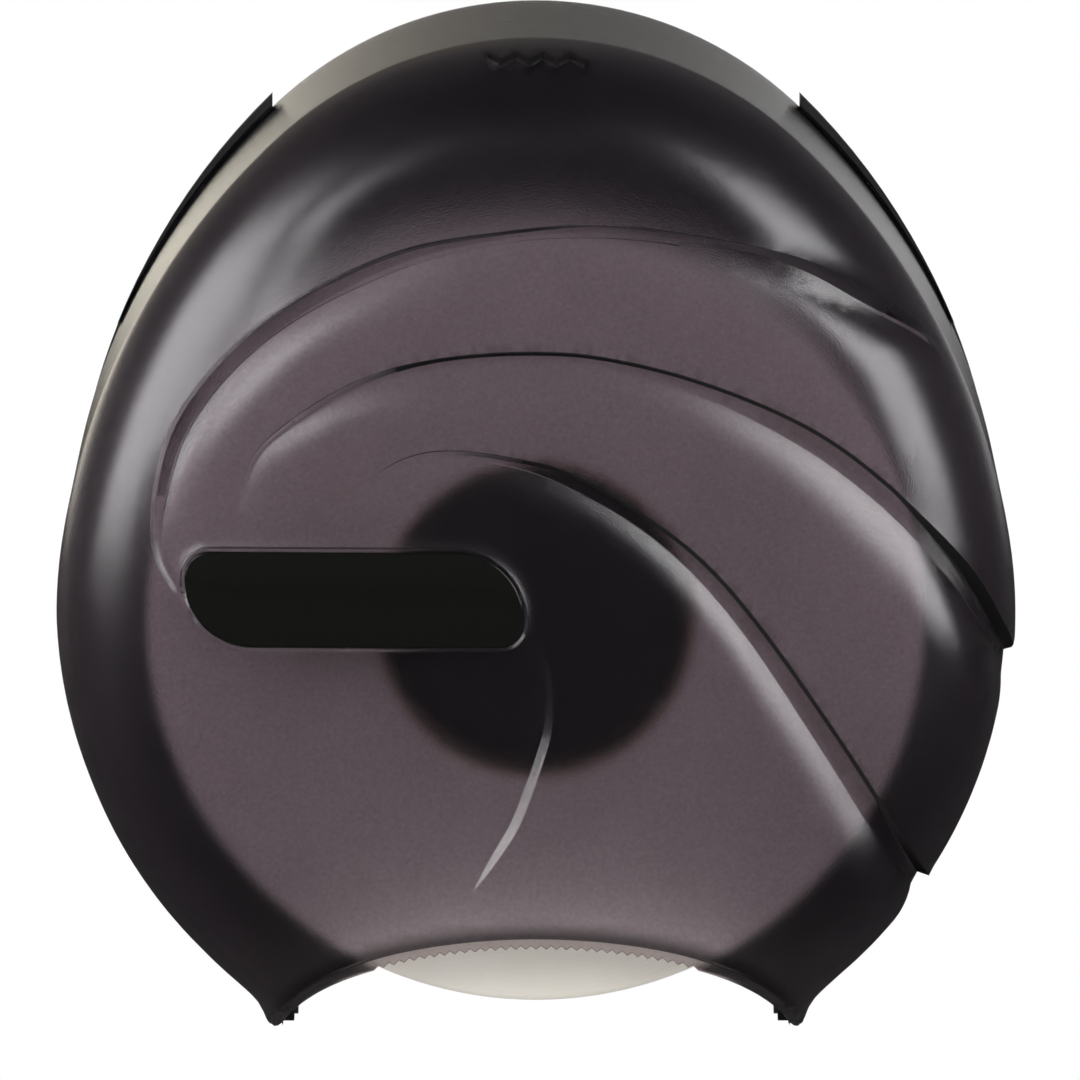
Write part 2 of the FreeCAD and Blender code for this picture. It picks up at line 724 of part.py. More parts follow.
# Roll


def make_core_hub():
    """Ribbed hub that carries the roll's core and turns on the shaft."""
    body = doc.addObject("PartDesign::Body", "core_hub")

    def ring_pad(name, radii, start, length):
        sketch = new_sketch(body, f"{name}_sketch", "XZ_Plane")
        sketch.setExpression("AttachmentOffset.Base.z", bound(start))
        for index, radius in enumerate(radii):
            sketch_circle(sketch, f"ring{index}", radius)
        return add_pad(body, name, sketch, length)

    ring_pad("hub_flange", ["hub_flange_radius", "bush_radius"], "hub_start", "hub_flange_thick")
    ring_pad("hub_barrel", ["hub_radius", "hub_radius - hub_wall"], "hub_start", "hub_length")
    ring_pad("hub_tube", ["tube_radius", "bush_radius"], "hub_start", "tube_length")
    ring_pad("hub_web", ["hub_radius", "bush_radius"], "tube_end - web_thick", "web_thick")
    rib = new_sketch(body, "hub_rib_sketch", "XZ_Plane")
    rib.setExpression("AttachmentOffset.Base.z", bound("hub_start"))
    foot, crest = "hub_radius - hub_wall", "core_radius - core_slip"
    sketch_polygon(rib, [("- hub_rib_half_thick", foot), ("hub_rib_half_thick", foot),
                         ("hub_rib_half_thick", crest), ("- hub_rib_half_thick", crest)])
    rib_pad = add_pad(body, "hub_rib", rib, "hub_length")
    doc.recompute()
    ribs = body.newObject("PartDesign::PolarPattern", "hub_ribs")
    ribs.Originals = [rib_pad]
    ribs.Axis = (next(item for item in body.Origin.OriginFeatures if item.Role == "Y_Axis"), [""])
    ribs.Angle = 360
    ribs.setExpression("Occurrences", "dims.hub_rib_count")
    body.Tip = ribs
    return body


def make_roll():
    """Tissue roll on its core, with the hub, bushes and cap that turn with it."""
    roll = tube("tissue_roll", "roll_radius", "core_radius + core_wall", "roll_start", "roll_width")
    core = tube("roll_core", "core_radius + core_wall", "core_radius", "roll_start", "roll_width")
    bush_bore = "shaft_radius + run_fit"
    rear = tube("hub_bush_rear", "bush_radius", bush_bore, "hub_start", "bush_length")
    front = tube("hub_bush_front", "bush_radius", bush_bore, "tube_end - bush_length",
                 "bush_length")
    cap_radius = "hub_radius - hub_wall - cap_clearance"
    cap = cut("hub_cap", disc("cap_outside", cap_radius, "tube_end", "cap_height"),
              disc("cap_inside", f"{cap_radius} - cap_wall", "tube_end", "cap_height - cap_wall"))
    return [roll, core, make_core_hub(), rear, front, cap]


# Hinge pins and latch


def make_hinge_pins():
    """Headed pins through the plate's ears and the cover's tails."""
    ear_inner = "lug_inner - ear_gap - ear_thick"
    stem = cross_bar("hinge_stem", "hinge_pin_radius", ear_inner,
                     "lug_inner + lug_thick - pin_recess", "hinge_start", "- hinge_drop")
    head = cross_bar("hinge_head", "pin_head_radius", f"{ear_inner} - pin_head_thick", ear_inner,
                     "hinge_start", "- hinge_drop")
    right = fuse("hinge_pin_right", stem, head)
    return [right, mirror("hinge_pin_left", right)]


def make_latch_lever():
    """Latch lever in its own frame at the pivot, tipped down to its released position."""
    body = doc.addObject("PartDesign::Body", "latch_lever")

    def side_pad(name, corners, half_width):
        sketch = new_sketch(body, f"{name}_sketch", "YZ_Plane")
        sketch_polygon(sketch, corners)
        pad = add_pad(body, name, sketch, f"{half_width} + {half_width}")
        pad.Midplane = True
        return pad

    barrel = new_sketch(body, "lever_barrel_sketch", "YZ_Plane")
    sketch_circle(barrel, "barrel", "lever_barrel")
    barrel_pad = add_pad(body, "lever_barrel_pad", barrel, "lever_half_width + lever_half_width")
    barrel_pad.Midplane = True
    side_pad("lever_beam", [("none", "lever_above"), ("- lever_length", "lever_above"),
                            ("- lever_length", "- lever_below"), ("none", "- lever_below")],
             "lever_half_width")
    nose_end = "- nose_start - nose_thick"
    side_pad("lever_nose", [("- nose_start", "lever_above"), ("- nose_start", "nose_height"),
                            (nose_end, "nose_height"), (f"{nose_end} - nose_thick", "lever_above")],
             "lever_half_width")
    bore = new_sketch(body, "lever_bore_sketch", "YZ_Plane")
    sketch_circle(bore, "bore", "pivot_radius + pivot_fit")
    doc.recompute()
    pocket = body.newObject("PartDesign::Pocket", "lever_bore")
    pocket.Profile = bore
    pocket.Type = "ThroughAll"
    pocket.Midplane = True
    slot = new_sketch(body, "lever_channel_sketch", "XZ_Plane")
    slot.setExpression("AttachmentOffset.Base.z", bound("lever_barrel"))
    sketch_polygon(slot, [("- lever_half_width + lever_edge", "- lever_below"),
                          ("lever_half_width - lever_edge", "- lever_below"),
                          ("lever_half_width - lever_edge", "- lever_below + lever_edge_height"),
                          ("- lever_half_width + lever_edge",
                           "- lever_below + lever_edge_height")])
    doc.recompute()
    channel = body.newObject("PartDesign::Pocket", "lever_channel")
    channel.Profile = slot
    channel.Reversed = True
    bind(channel, Length="lever_length - lever_barrel - lever_edge")
    body.Placement = FreeCAD.Placement(Vector(), FreeCAD.Rotation(Vector(1, 0, 0), 1))
    body.setExpression("Placement.Rotation.Angle", "dims.lever_slope")
    body.setExpression("Placement.Base.y", "-dims.pivot_start")
    body.setExpression("Placement.Base.z", "dims.pivot_height")
    return body


def tangent_arc(first, last, heading):
    """Arc from one point to another that leaves along a heading."""
    chord = last - first
    aim = Vector(heading).normalize()
    line = Vector(chord).normalize()
    sideways = aim - line * aim.dot(line)
    bulge = chord.Length / 2 * math.tan(math.acos(min(1, aim.dot(line))) / 2)
    return Part.Arc(first, (first + last) / 2 + sideways.normalize() * bulge, last).toShape()


def make_latch_spring():
    """Compression spring from the ledge to the lever's channel, one unbroken wire."""
    radius, wire, turns = size("spring_radius"), size("spring_wire"), size("spring_turns")
    slope = math.radians(size("lever_slope"))
    reach = size("spring_start") - size("pivot_start")
    roof = size("lever_edge_height") - size("lever_below")
    under = size("pivot_height") - reach * math.tan(slope) + roof / math.cos(slope)
    foot = size("ledge_height") + size("spring_gap") + wire
    top = under - size("spring_gap") - wire - radius * math.tan(slope)
    pitch = (top - foot) / turns
    lead = Vector(0, -size("spring_start"), foot)

    def on_coil(angle):
        return lead + Vector(radius * math.cos(angle), radius * math.sin(angle),
                             pitch * angle / (2 * math.pi))

    def heading(angle):
        return Vector(-radius * math.sin(angle), radius * math.cos(angle),
                      pitch / (2 * math.pi)).normalize()

    quarter = math.pi / 2
    edges = []
    for step in range(round(turns * 4)):
        first, last = on_coil(step * quarter), on_coil((step + 1) * quarter)
        leave, arrive = heading(step * quarter), heading((step + 1) * quarter)
        span, both = last - first, leave + arrive
        spread = 2 * (1 - leave.dot(arrive))
        pull = (math.sqrt(span.dot(both) ** 2 + 2 * spread * span.dot(span)) - span.dot(both))
        pull /= 2 * spread
        joint = (first + leave * pull + last - arrive * pull) / 2
        edges.append(tangent_arc(first, joint, leave))
        edges.append(tangent_arc(joint, last, last - arrive * pull - first - leave * pull))
    path = Part.Wire(edges)
    section = Part.Wire(Part.Circle(on_coil(0), heading(0), wire).toShape())
    coil = path.makePipeShell([section], True, False)
    print("latch spring gap between turns", round(pitch - 2 * wire, 2), "mm")
    return solid("latch_spring", coil)


def make_latch():
    """Sprung lever that hooks the cover, its pivot pin and its spring."""
    end = "lever_half_width + bracket_gap + bracket_thick"
    stem = cross_bar("pivot_stem", "pivot_radius", "- lever_half_width - bracket_gap - bracket_thick",
                     end, "pivot_start", "pivot_height")
    head = cross_bar("pivot_head", "pin_head_radius", end, f"{end} + pin_head_thick",
                     "pivot_start", "pivot_height")
    pin = fuse("latch_pivot_pin", stem, head)
    return [make_latch_lever(), pin, make_latch_spring()]


def export(pieces):
    """Check the whole document, then write one file for each piece."""
    doc.recompute()
    for item in doc.Objects:
        if "Invalid" in item.State or "Error" in item.State:
            raise RuntimeError(f"{item.Label} did not build")
    for piece in pieces:
        if piece.Shape.isNull() or not piece.Shape.isValid():
            raise RuntimeError(f"{piece.Label} has no valid shape")
    os.makedirs("parts", exist_ok=True)
    for piece in pieces:
        box = piece.Shape.BoundBox
        print(f"{piece.Label:18s} solids {len(piece.Shape.Solids)} volume {piece.Shape.Volume:.0f}"
              f" box {box.XLength:.1f} x {box.YLength:.1f} x {box.ZLength:.1f}")
        piece.Shape.exportStep(f"parts/{piece.Label}.step")


export([*make_cover(), make_back_plate(), *make_spindle(), *make_roll(), *make_hinge_pins(),
        *make_latch()])
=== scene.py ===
import json
import math

import bmesh
import bpy
import numpy as np
from mathutils import Matrix, Vector
from mathutils.geometry import delaunay_2d_cdt
from mathutils.kdtree import KDTree


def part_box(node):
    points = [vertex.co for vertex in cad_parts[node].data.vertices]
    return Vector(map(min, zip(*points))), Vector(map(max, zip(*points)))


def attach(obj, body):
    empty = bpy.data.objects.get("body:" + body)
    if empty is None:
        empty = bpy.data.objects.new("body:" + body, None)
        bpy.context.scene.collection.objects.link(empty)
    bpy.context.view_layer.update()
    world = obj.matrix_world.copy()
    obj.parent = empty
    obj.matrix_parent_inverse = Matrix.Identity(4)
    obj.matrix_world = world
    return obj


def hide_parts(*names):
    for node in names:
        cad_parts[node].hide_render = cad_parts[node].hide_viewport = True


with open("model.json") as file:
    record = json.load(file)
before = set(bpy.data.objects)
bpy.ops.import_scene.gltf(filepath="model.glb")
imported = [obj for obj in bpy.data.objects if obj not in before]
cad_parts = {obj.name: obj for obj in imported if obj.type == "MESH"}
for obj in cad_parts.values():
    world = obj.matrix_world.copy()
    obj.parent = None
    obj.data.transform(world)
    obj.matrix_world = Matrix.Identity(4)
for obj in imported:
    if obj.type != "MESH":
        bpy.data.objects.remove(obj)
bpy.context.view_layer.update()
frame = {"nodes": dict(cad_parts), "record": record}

# Wall-mounted bath tissue dispenser. Lengths are in metres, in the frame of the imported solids:
# the spindle axis meets the wall at the origin, +X is right, +Y into the wall and +Z up.

# Cover form
COVER_LOW, COVER_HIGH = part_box("cover_shell")
LOWER_RADIUS = -COVER_LOW.x
CROWN_RADIUS = LOWER_RADIUS - 0.026
CROWN_RISE = COVER_HIGH.z - CROWN_RADIUS
SHOULDER_RADIUS = LOWER_RADIUS + 0.0575
RIM_RISE = 0.0004
FACE_Y = COVER_LOW.y + RIM_RISE
REAR_Y = COVER_HIGH.y
FACE_RADIUS = 1.4
EDGE_ROUND = 0.028
DRAFT_INSET = 0.0038
WALL = 0.0032

# The cover is laid out flat: its face as it is, its rounding and sides rolled out round it.
FACE_EDGE = DRAFT_INSET + EDGE_ROUND
ROUND_RUN = EDGE_ROUND * math.pi / 2
SIDE_RUN = 0.106
FULL_RUN = ROUND_RUN + SIDE_RUN
SIDE_RADIUS = LOWER_RADIUS - DRAFT_INSET

# Mouth with its toothed lip. The lip's band is set back by a step behind the face's rounded lower edge,
# and the step's profile and its painted light and shade run from the band upwards: the band is painted
# paler, and the rounded edge above it gets painted shade.
LIP_HEIGHT = 0.0855
LIP_RADIUS = 0.172
LIP_CORNER_POWER = 6.5
CORNER_X = 0.0687
LIP_BAND = 0.003
LIP_STEP = 0.0016
LIP_STEP_RUN = 0.0002
LIP_ROUND = 0.0016
LIP_PROFILE = [1, 0.5, 0.2, 0.06, 0]
# Painted paler on the band, painted shade on the edge above it.
LIP_PAINTED_SHADING = [-0.4, 0.75, 0.65, 0]
LIP_CORNER_POINTS = 18
TOOTH_PITCH = 0.0027
TOOTH_DEPTH = 0.001
TEETH_REACH = 0.042

# Tails beside the mouth, drawn down to the hinge. Their profile is given from the mouth's edge
# outwards, as shares of the drop, at the front and at the hinge.
PIN_LOW, PIN_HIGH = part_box("hinge_pin_right")
PIN_RADIUS = 0.002
PIN_FIT = 0.00008
PIN_RECESS = 0.0006
LUG_THICK = 0.004
LUG_RADIUS = 0.008
LUG_INNER = PIN_HIGH.x + PIN_RECESS - LUG_THICK
HINGE_Y = (PIN_LOW.y + PIN_HIGH.y) / 2
HINGE_Z = (PIN_LOW.z + PIN_HIGH.z) / 2
LUG_EASE = 0.0002
CUSP_DROP = 0.0052
LUG_DROP = 0.0222
TAIL_REACH = [-0.009, -0.004, 0, 0.0012, 0.0025, 0.0042, 0.0050, 0.0056, 0.0072, 0.0097, 0.013, 0.017]
FRONT_TAIL = [0, 0.06, 0.50, 0.68, 0.88, 1.00, 0.97, 0.88, 0.40, 0.14, 0.04, 0]
REAR_TAIL = [0, 0.40, 0.93, 0.98, 1.00, 0.97, 0.90, 0.55, 0.28, 0.14, 0.05, 0]
TAIL_START = 0.7 * ROUND_RUN
# Painted light: the thin tails are painted paler.
TAIL_PAINTED_LIGHT = -0.5
TAIL_POINTS = 44
TAIL_POINT_POWER = 1.5
BORE_SIDES = 32

# Rib inside the top that the latch hooks
CATCH_HALF = 0.012
CATCH_FRONT, CATCH_REAR = -0.0604, -0.0574
CATCH_LOW = COVER_HIGH.z - 0.0134
CATCH_HIGH = COVER_HIGH.z - 0.0041
CATCH_EASE = 0.0006

# Badge and key slot
BADGE_LOW, BADGE_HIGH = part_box("badge")
BADGE_GAP = 0.00015
BADGE_SHARP = 0.0065
BADGE_END_FLAT = 0.001
BADGE_SEAT = 0.0016
BADGE_PLAY = 0.0003
BADGE_EASE = 0.0005
BADGE_BOW_STEP = 0.004
RIM_WIDTH = 0.0014
KEY_HALF = 0.0135
KEY_LEGS = 7
KEY_WAVE = 0.0032
KEY_WIDTH = 0.0013
KEY_RUN = EDGE_ROUND * math.radians(57)

# Wound roll
ROLL_EDGE = 0.0025
ROLL_EDGE_STEPS = 5
ROLL_SIDES = 160
CORE_GAP = 0.0001
MERGE_GAP = 0.00001

# How far in the sides are set below the middle wave: millimetres, at degrees below level
RIGHT_SIDE_DEGREES = [3.2, 4.2, 33, 50, 62]
RIGHT_SIDE_INSETS = [0, 2.4, 2.2, 1.6, 0]
LEFT_SIDE_DEGREES = [0, 20, 45, 62]
LEFT_SIDE_INSETS = [0, 1.2, 1.2, 0]
SIDE_INSET_RUN = 0.8 * SIDE_RUN

# Waves of the face, from the left tip to the right side, in millimetres: the outer edge right and up,
# how far in the wall and the floor end, the depth, the width of the shoulder, and the height and width
# of the bank outside the edge
UPPER_WAVE = [
    (-90.5, 5.5, 0.6, 1.2, 0.1, 4, 0, 3), (-96.0, 11.1, 1.0, 1.8, 0.5, 6, 0, 3),
    (-101.1, 21.1, 1.8, 2.6, 0.9, 9, 0, 3), (-101.4, 35.6, 3.2, 4.0, 1.6, 10, 0, 3),
    (-96.2, 55.0, 4.2, 5.0, 2.6, 12, 0.2, 5), (-82.4, 73.2, 4.2, 5.0, 2.8, 13, 1.0, 10),
    (-63.5, 88.1, 4.2, 5.0, 2.5, 13, 2.5, 17), (-36.1, 100.8, 3.2, 4.8, 2.1, 15, 1.6, 13),
    (-9.2, 105.8, 1.8, 3.0, 1.4, 18, 0.4, 9), (17.2, 107.8, 2.0, 3.6, 1.2, 17, 0.1, 4),
    (43.3, 104.6, 1.6, 3.6, 1.8, 16, 0.15, 3), (69.7, 98.9, 2.4, 7.2, 3.0, 16, 0.5, 3),
    (89.8, 88.7, 2.4, 5.2, 3.0, 18, 0.6, 3), (101.9, 80.0, 1.6, 3.0, 1.0, 14, 0.2, 3),
    (108.8, 72.6, 1.0, 2.0, 0.0, 10, 0, 3)]
MIDDLE_WAVE = [
    (-80.0, 29.0, 0.6, 1.0, 0.1, 6, 0, 3), (-78.2, 37.1, 0.8, 1.2, 0.5, 8, 0, 3),
    (-73.1, 48.7, 1.1, 1.6, 1.0, 9, 0, 3), (-60.0, 59.5, 1.4, 2.1, 1.7, 10, 0, 3),
    (-43.9, 68.1, 1.5, 3.0, 2.1, 11, 0, 3), (-25.2, 72.7, 1.1, 3.4, 2.6, 13, 0, 3),
    (-4.0, 74.4, 1.1, 3.4, 2.9, 15, 0, 3), (17.3, 73.1, 1.1, 3.6, 3.2, 16, 0, 3),
    (43.8, 66.5, 1.1, 4.0, 3.5, 17, 0, 3), (71.3, 54.8, 1.1, 5.7, 3.9, 18, 0, 3),
    (92.6, 39.6, 1.1, 5.9, 4.2, 19, 0, 3), (114.0, 18.0, 1.1, 5.6, 4.2, 20, 0.15, 3),
    (124.9, -0.2, 1.0, 4.4, 3.2, 16, 0.2, 3), (128.2, -8.0, 1.0, 3.5, 1.6, 16, 0.1, 3)]
LOWER_WAVE = [
    (-48.2, 37.6, 0.5, 0.9, 0.1, 6, 0, 3), (-42.6, 41.8, 0.8, 1.4, 0.4, 8, 0, 3),
    (-33.6, 46.7, 0.9, 2.0, 0.8, 9, 0, 3), (-22.6, 48.4, 0.9, 2.4, 1.1, 9, 0, 3),
    (-6.5, 46.6, 1.1, 2.6, 1.8, 9, 0, 3), (9.4, 42.5, 1.1, 4.0, 2.1, 9, 0, 3),
    (28.2, 31.8, 1.1, 4.0, 2.3, 9.5, 0, 3), (45.3, 18.2, 1.1, 4.7, 2.6, 11, 0, 3),
    (61.3, -0.7, 1.1, 5.1, 2.9, 12.5, 0, 3), (80.6, -28.5, 1.1, 6.0, 3.3, 15, 0, 3),
    (94.0, -49.6, 1.1, 6.2, 3.4, 15.5, 0.1, 3), (103.5, -64.9, 0.9, 4.8, 3.3, 14, 0.35, 3),
    (107.8, -72.2, 1.0, 3.6, 3.0, 14, 0.35, 3)]
SHORT_WAVE = [
    (-3.0, 1.0, 0.3, 0.6, 0.2, 5, 0, 3), (2.9, -8.0, 0.8, 1.0, 0.5, 6, 0, 3),
    (4.2, -15.4, 1.4, 1.7, 0.9, 7, 0, 3), (4.3, -24.0, 2.0, 2.3, 1.3, 8, 0, 3),
    (2.8, -31.7, 2.3, 2.6, 1.5, 9, 0, 3), (-3.8, -50.4, 2.4, 2.7, 1.6, 10, 0, 3),
    (-9.8, -60.4, 2.0, 2.3, 1.3, 10, 0, 3), (-15.9, -68.8, 0.6, 0.9, 0.3, 8, 0, 3)]
MILLIMETRE = 0.001
SHOULDER_POWER = 2.2

# Where a wave runs over the side: the length of its end, and the shares of its sizes that are left there
WAVE_END = 0.032
WAVE_END_KEPT = [0.4, 0.4, 0, 1, 0, 1]

# Right of this place the upper wave's crease is soft.
SOFT_FROM = 0.04

# From the first of these slopes to the second a wall gets painted shade, as seen edge on, as does its
# floor.
STEEP_FROM, STEEP_TO = 1.1, 1.7
# Share of painted shade on the floor that lies in a wall's shade.
FLOOR_PAINTED_SHADE = 0.2
SHADED_FLOOR = 0.95

# Spacing of the cover's mesh: on its waves, on its face and rounding, on its sides, and further back.
# Points of the grid stay at least a share of their spacing away from the lines.
LINE_STEP = 0.0016
FACE_STEP = 0.0026
SIDE_STEP = 0.004
BACK_STEP = 0.007
BACK_RUN = 0.09
NEAREST_SHARE = 0.6
WELD_GAP = 1e-8

# Edges sharper than this are creases.
COVER_CREASE = math.radians(24)
PLAIN_CREASE = math.radians(40)


# Shaders


class Wire:
    """An output socket of a shader. Arithmetic on it adds Math nodes to its tree."""

    def __init__(self, tree, socket):
        self.tree = tree
        self.socket = socket

    @classmethod
    def node(cls, tree, kind, settings, sockets, output=0):
        """Add a node: its settings first, then the values or links of its sockets."""
        made = tree.nodes.new(kind)
        for name, value in settings.items():
            setattr(made, name, value)
        for name, value in sockets.items():
            if isinstance(value, Wire):
                tree.links.new(value.socket, made.inputs[name])
            else:
                made.inputs[name].default_value = value
        return cls(tree, made.outputs[output])

    def math(self, operation, *terms):
        return Wire.node(self.tree, "ShaderNodeMath", {"operation": operation},
                         dict(enumerate(terms)))

    def __add__(self, other):
        return self.math("ADD", self, other)

    def __radd__(self, other):
        return self.math("ADD", other, self)

    def __sub__(self, other):
        return self.math("SUBTRACT", self, other)

    def __rsub__(self, other):
        return self.math("SUBTRACT", other, self)

    def __mul__(self, other):
        return self.math("MULTIPLY", self, other)

    def __rmul__(self, other):
        return self.math("MULTIPLY", other, self)


def new_material(name):
    material = bpy.data.materials.new(name)
    material.use_nodes = True
    material.node_tree.nodes.clear()
    return material, material.node_tree


def place_of(tree, scale=(1, 1, 1), turn=(0, 0, 0)):
    """Object coordinates, stretched and turned."""
    spot = Wire.node(tree, "ShaderNodeTexCoord", {}, {}, "Object")
    return Wire.node(tree, "ShaderNodeMapping", {}, {"Vector": spot, "Scale": scale, "Rotation": turn})


def noise(tree, spot, scale, detail=3.0, roughness=0.5):
    return Wire.node(tree, "ShaderNodeTexNoise", {}, {"Vector": spot, "Scale": scale, "Detail": detail,
                                                      "Roughness": roughness}, "Fac")


def blend_colour(tree, share, first, second):
    return Wire.node(tree, "ShaderNodeMix", {"data_type": "RGBA"}, {0: share, 6: first, 7: second}, 2)


def bump(tree, height, distance, strength=1.0):
    return Wire.node(tree, "ShaderNodeBump", {}, {"Height": height, "Distance": distance,
                                                  "Strength": strength}, "Normal")


def parts_of(spot):
    """The three coordinates of a place."""
    parts = spot.tree.nodes.new("ShaderNodeSeparateXYZ")
    spot.tree.links.new(spot.socket, parts.inputs[0])
    return [Wire(spot.tree, socket) for socket in parts.outputs]


def show(shader, kind="ShaderNodeOutputMaterial"):
    """Link a shader to the output of its tree."""
    out = shader.tree.nodes.new(kind)
    shader.tree.links.new(shader.socket, out.inputs["Surface"])


def surface(tree, sockets):
    show(Wire.node(tree, "ShaderNodeBsdfPrincipled", {}, sockets))


def smoked_cover():
    """Smoked translucent plastic with a fine satin grain; its tint carries painted light and shade."""
    material, tree = new_material("smoked_cover")
    spot = place_of(tree)
    grain = noise(tree, spot, 2400, 2)
    cloud = noise(tree, spot, 60, 3)
    speck = noise(tree, spot, 1100, 2)
    wall = Wire.node(tree, "ShaderNodeAttribute", {"attribute_name": "wall"}, {}, "Fac")
    painted_shading = Wire.node(tree, "ShaderNodeAttribute", {"attribute_name": "painted_shading"}, {}, "Fac")
    tint = blend_colour(tree, 0.2 * cloud + 0.8 * speck, (0.43, 0.37, 0.43, 1), (0.785, 0.71, 0.79, 1))
    # Painted light and shade: a negative amount paints the tint paler, a positive one and a steep wall
    # paint it near-black.
    tint = blend_colour(tree, 0 - painted_shading, tint, (0.88, 0.82, 0.75, 1))
    tint = blend_colour(tree, painted_shading, tint, (0.0004, 0.0003, 0.0004, 1))
    tint = blend_colour(tree, wall, tint, (0.0001, 0.0001, 0.0001, 1))
    surface(tree, {"Base Color": tint, "Roughness": 0.18 + 0.06 * grain + 0.02 * cloud + 0.7 * wall,
                   "IOR": 1.6, "Transmission Weight": 1.0, "Specular IOR Level": 1.0,
                   "Normal": bump(tree, grain, 0.00005, 0.9)})
    return material


def badge_gloss():
    """Black gloss plate with a faint ripple and dust."""
    material, tree = new_material("badge_gloss")
    spot = place_of(tree)
    ripple = noise(tree, spot, 120, 2)
    dust = noise(tree, spot, 1800, 4, 0.7)
    colour = blend_colour(tree, dust, (0.004, 0.004, 0.004, 1), (0.008, 0.008, 0.007, 1))
    surface(tree, {"Base Color": colour, "Roughness": 0.08 + 0.06 * dust, "Specular IOR Level": 0.4,
                   "Normal": bump(tree, ripple, 0.00004, 0.5)})
    return material


def black_plastic():
    """Moulded black plastic with a spark-eroded grain and faint cloudy patches."""
    material, tree = new_material("black_plastic")
    spot = place_of(tree)
    grain = noise(tree, spot, 1500, 3)
    cloud = noise(tree, spot, 45, 4)
    colour = blend_colour(tree, cloud, (0.006, 0.006, 0.007, 1), (0.014, 0.014, 0.015, 1))
    surface(tree, {"Base Color": colour, "Roughness": 0.42 + 0.16 * grain + 0.08 * cloud,
                   "Normal": bump(tree, grain, 0.00005, 0.5)})
    return material


def turned_steel(name, bright, dark, roughness):
    """Turned steel with fine rings of tool marks and a little tarnish."""
    material, tree = new_material(name)
    spot = place_of(tree, (1, 40, 1))
    marks = noise(tree, spot, 260, 4, 0.65)
    tarnish = noise(tree, place_of(tree), 180, 4)
    colour = blend_colour(tree, tarnish, dark, bright)
    surface(tree, {"Base Color": colour, "Metallic": 1.0, "Roughness": roughness + 0.14 * marks,
                   "Normal": bump(tree, marks, 0.00002, 0.5)})
    return material


def white_bearing():
    """White bearing plastic, waxy and slightly greyed in patches."""
    material, tree = new_material("white_bearing")
    spot = place_of(tree)
    wear = noise(tree, spot, 220, 5)
    colour = blend_colour(tree, wear, (0.80, 0.78, 0.73, 1), (0.88, 0.87, 0.83, 1))
    surface(tree, {"Base Color": colour, "Roughness": 0.38 + 0.16 * wear, "Subsurface Weight": 0.1,
                   "Subsurface Radius": (0.001, 0.001, 0.0008),
                   "Normal": bump(tree, wear, 0.00003, 0.4)})
    return material


def tissue():
    """Wound creped tissue: fine rings on the ends, cross creping on the outside."""
    material, tree = new_material("tissue")
    spot = Wire.node(tree, "ShaderNodeTexCoord", {}, {}, "Object")
    across, _, up = parts_of(spot)
    square = across * across + up * up
    reach = square.math("SQRT", square)
    flutter = noise(tree, spot, 90, 3)
    winding = reach * 5200 + flutter * 5
    layers = winding.math("SINE", winding)
    crepe = noise(tree, place_of(tree, (1, 0.12, 1)), 1500, 4, 0.6)
    shade = noise(tree, spot, 28, 4)
    height = 0.5 + 0.3 * layers + 0.6 * crepe
    colour = blend_colour(tree, shade, (0.80, 0.75, 0.66, 1), (0.90, 0.865, 0.79, 1))
    surface(tree, {"Base Color": colour, "Roughness": 0.93 + 0.05 * crepe, "Sheen Weight": 0.15,
                   "Sheen Roughness": 0.6, "Normal": bump(tree, height, 0.00008, 0.6)})
    return material


def core_board():
    """Grey-brown spiral-wound board."""
    material, tree = new_material("core_board")
    spot = place_of(tree)
    fibre = noise(tree, place_of(tree, (1, 0.25, 1), (0, 0, 0.6)), 900, 5, 0.7)
    blotch = noise(tree, spot, 70, 4)
    colour = blend_colour(tree, blotch, (0.36, 0.28, 0.20, 1), (0.52, 0.43, 0.32, 1))
    surface(tree, {"Base Color": colour, "Roughness": 0.86 + 0.1 * fibre,
                   "Normal": bump(tree, fibre, 0.00006, 0.6)})
    return material


MATERIALS = {
    "smoked_cover": smoked_cover(),
    "badge_gloss": badge_gloss(),
    "black_plastic": black_plastic(),
    "steel": turned_steel("steel", (0.66, 0.66, 0.67, 1), (0.52, 0.52, 0.53, 1), 0.24),
    "dark_steel": turned_steel("dark_steel", (0.30, 0.30, 0.31, 1), (0.20, 0.20, 0.21, 1), 0.34),
    "white_bearing": white_bearing(),
    "tissue": tissue(),
    "core_board": core_board(),
}


def dress(piece, slot):
    piece.data.materials.clear()
    piece.data.materials.append(MATERIALS[slot])


# Pieces


def loose_piece(name, bm):
    """Make an object of a bmesh, which is used up."""
    mesh = bpy.data.meshes.new(name)
    bm.to_mesh(mesh)
    bm.free()
    piece = bpy.data.objects.new(name, mesh)
    bpy.context.scene.collection.objects.link(piece)
    return piece


def finish_piece(name, bm, slot, body, node):
    """Make an object of a bmesh that stands for a solid and rides on its body."""
    piece = loose_piece(name, bm)
    dress(piece, slot)
    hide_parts(node)
    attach(piece, body)
    return piece


def shade_by_angle(bm, angle):
    """Smooth the faces, and keep the edges that are sharper than the angle as creases."""
    for face in bm.faces:
        face.smooth = True
    for edge in bm.edges:
        edge.smooth = edge.smooth and edge.calc_face_angle(0) < angle


# Form of the cover


def shoulder_centre():
    """How far across and up the centre of the shoulder's arc lies, which touches the two other arcs."""
    to_lower = SHOULDER_RADIUS - LOWER_RADIUS
    to_crown = SHOULDER_RADIUS - CROWN_RADIUS
    drop = (to_lower ** 2 - to_crown ** 2 + CROWN_RISE ** 2) / (2 * CROWN_RISE)
    return math.sqrt(to_lower ** 2 - drop ** 2), drop


SHOULDER_ACROSS, SHOULDER_DROP = shoulder_centre()
LOW_ANGLE = math.atan2(-SHOULDER_DROP, SHOULDER_ACROSS)
HIGH_ANGLE = math.atan2(CROWN_RISE - SHOULDER_DROP, SHOULDER_ACROSS)


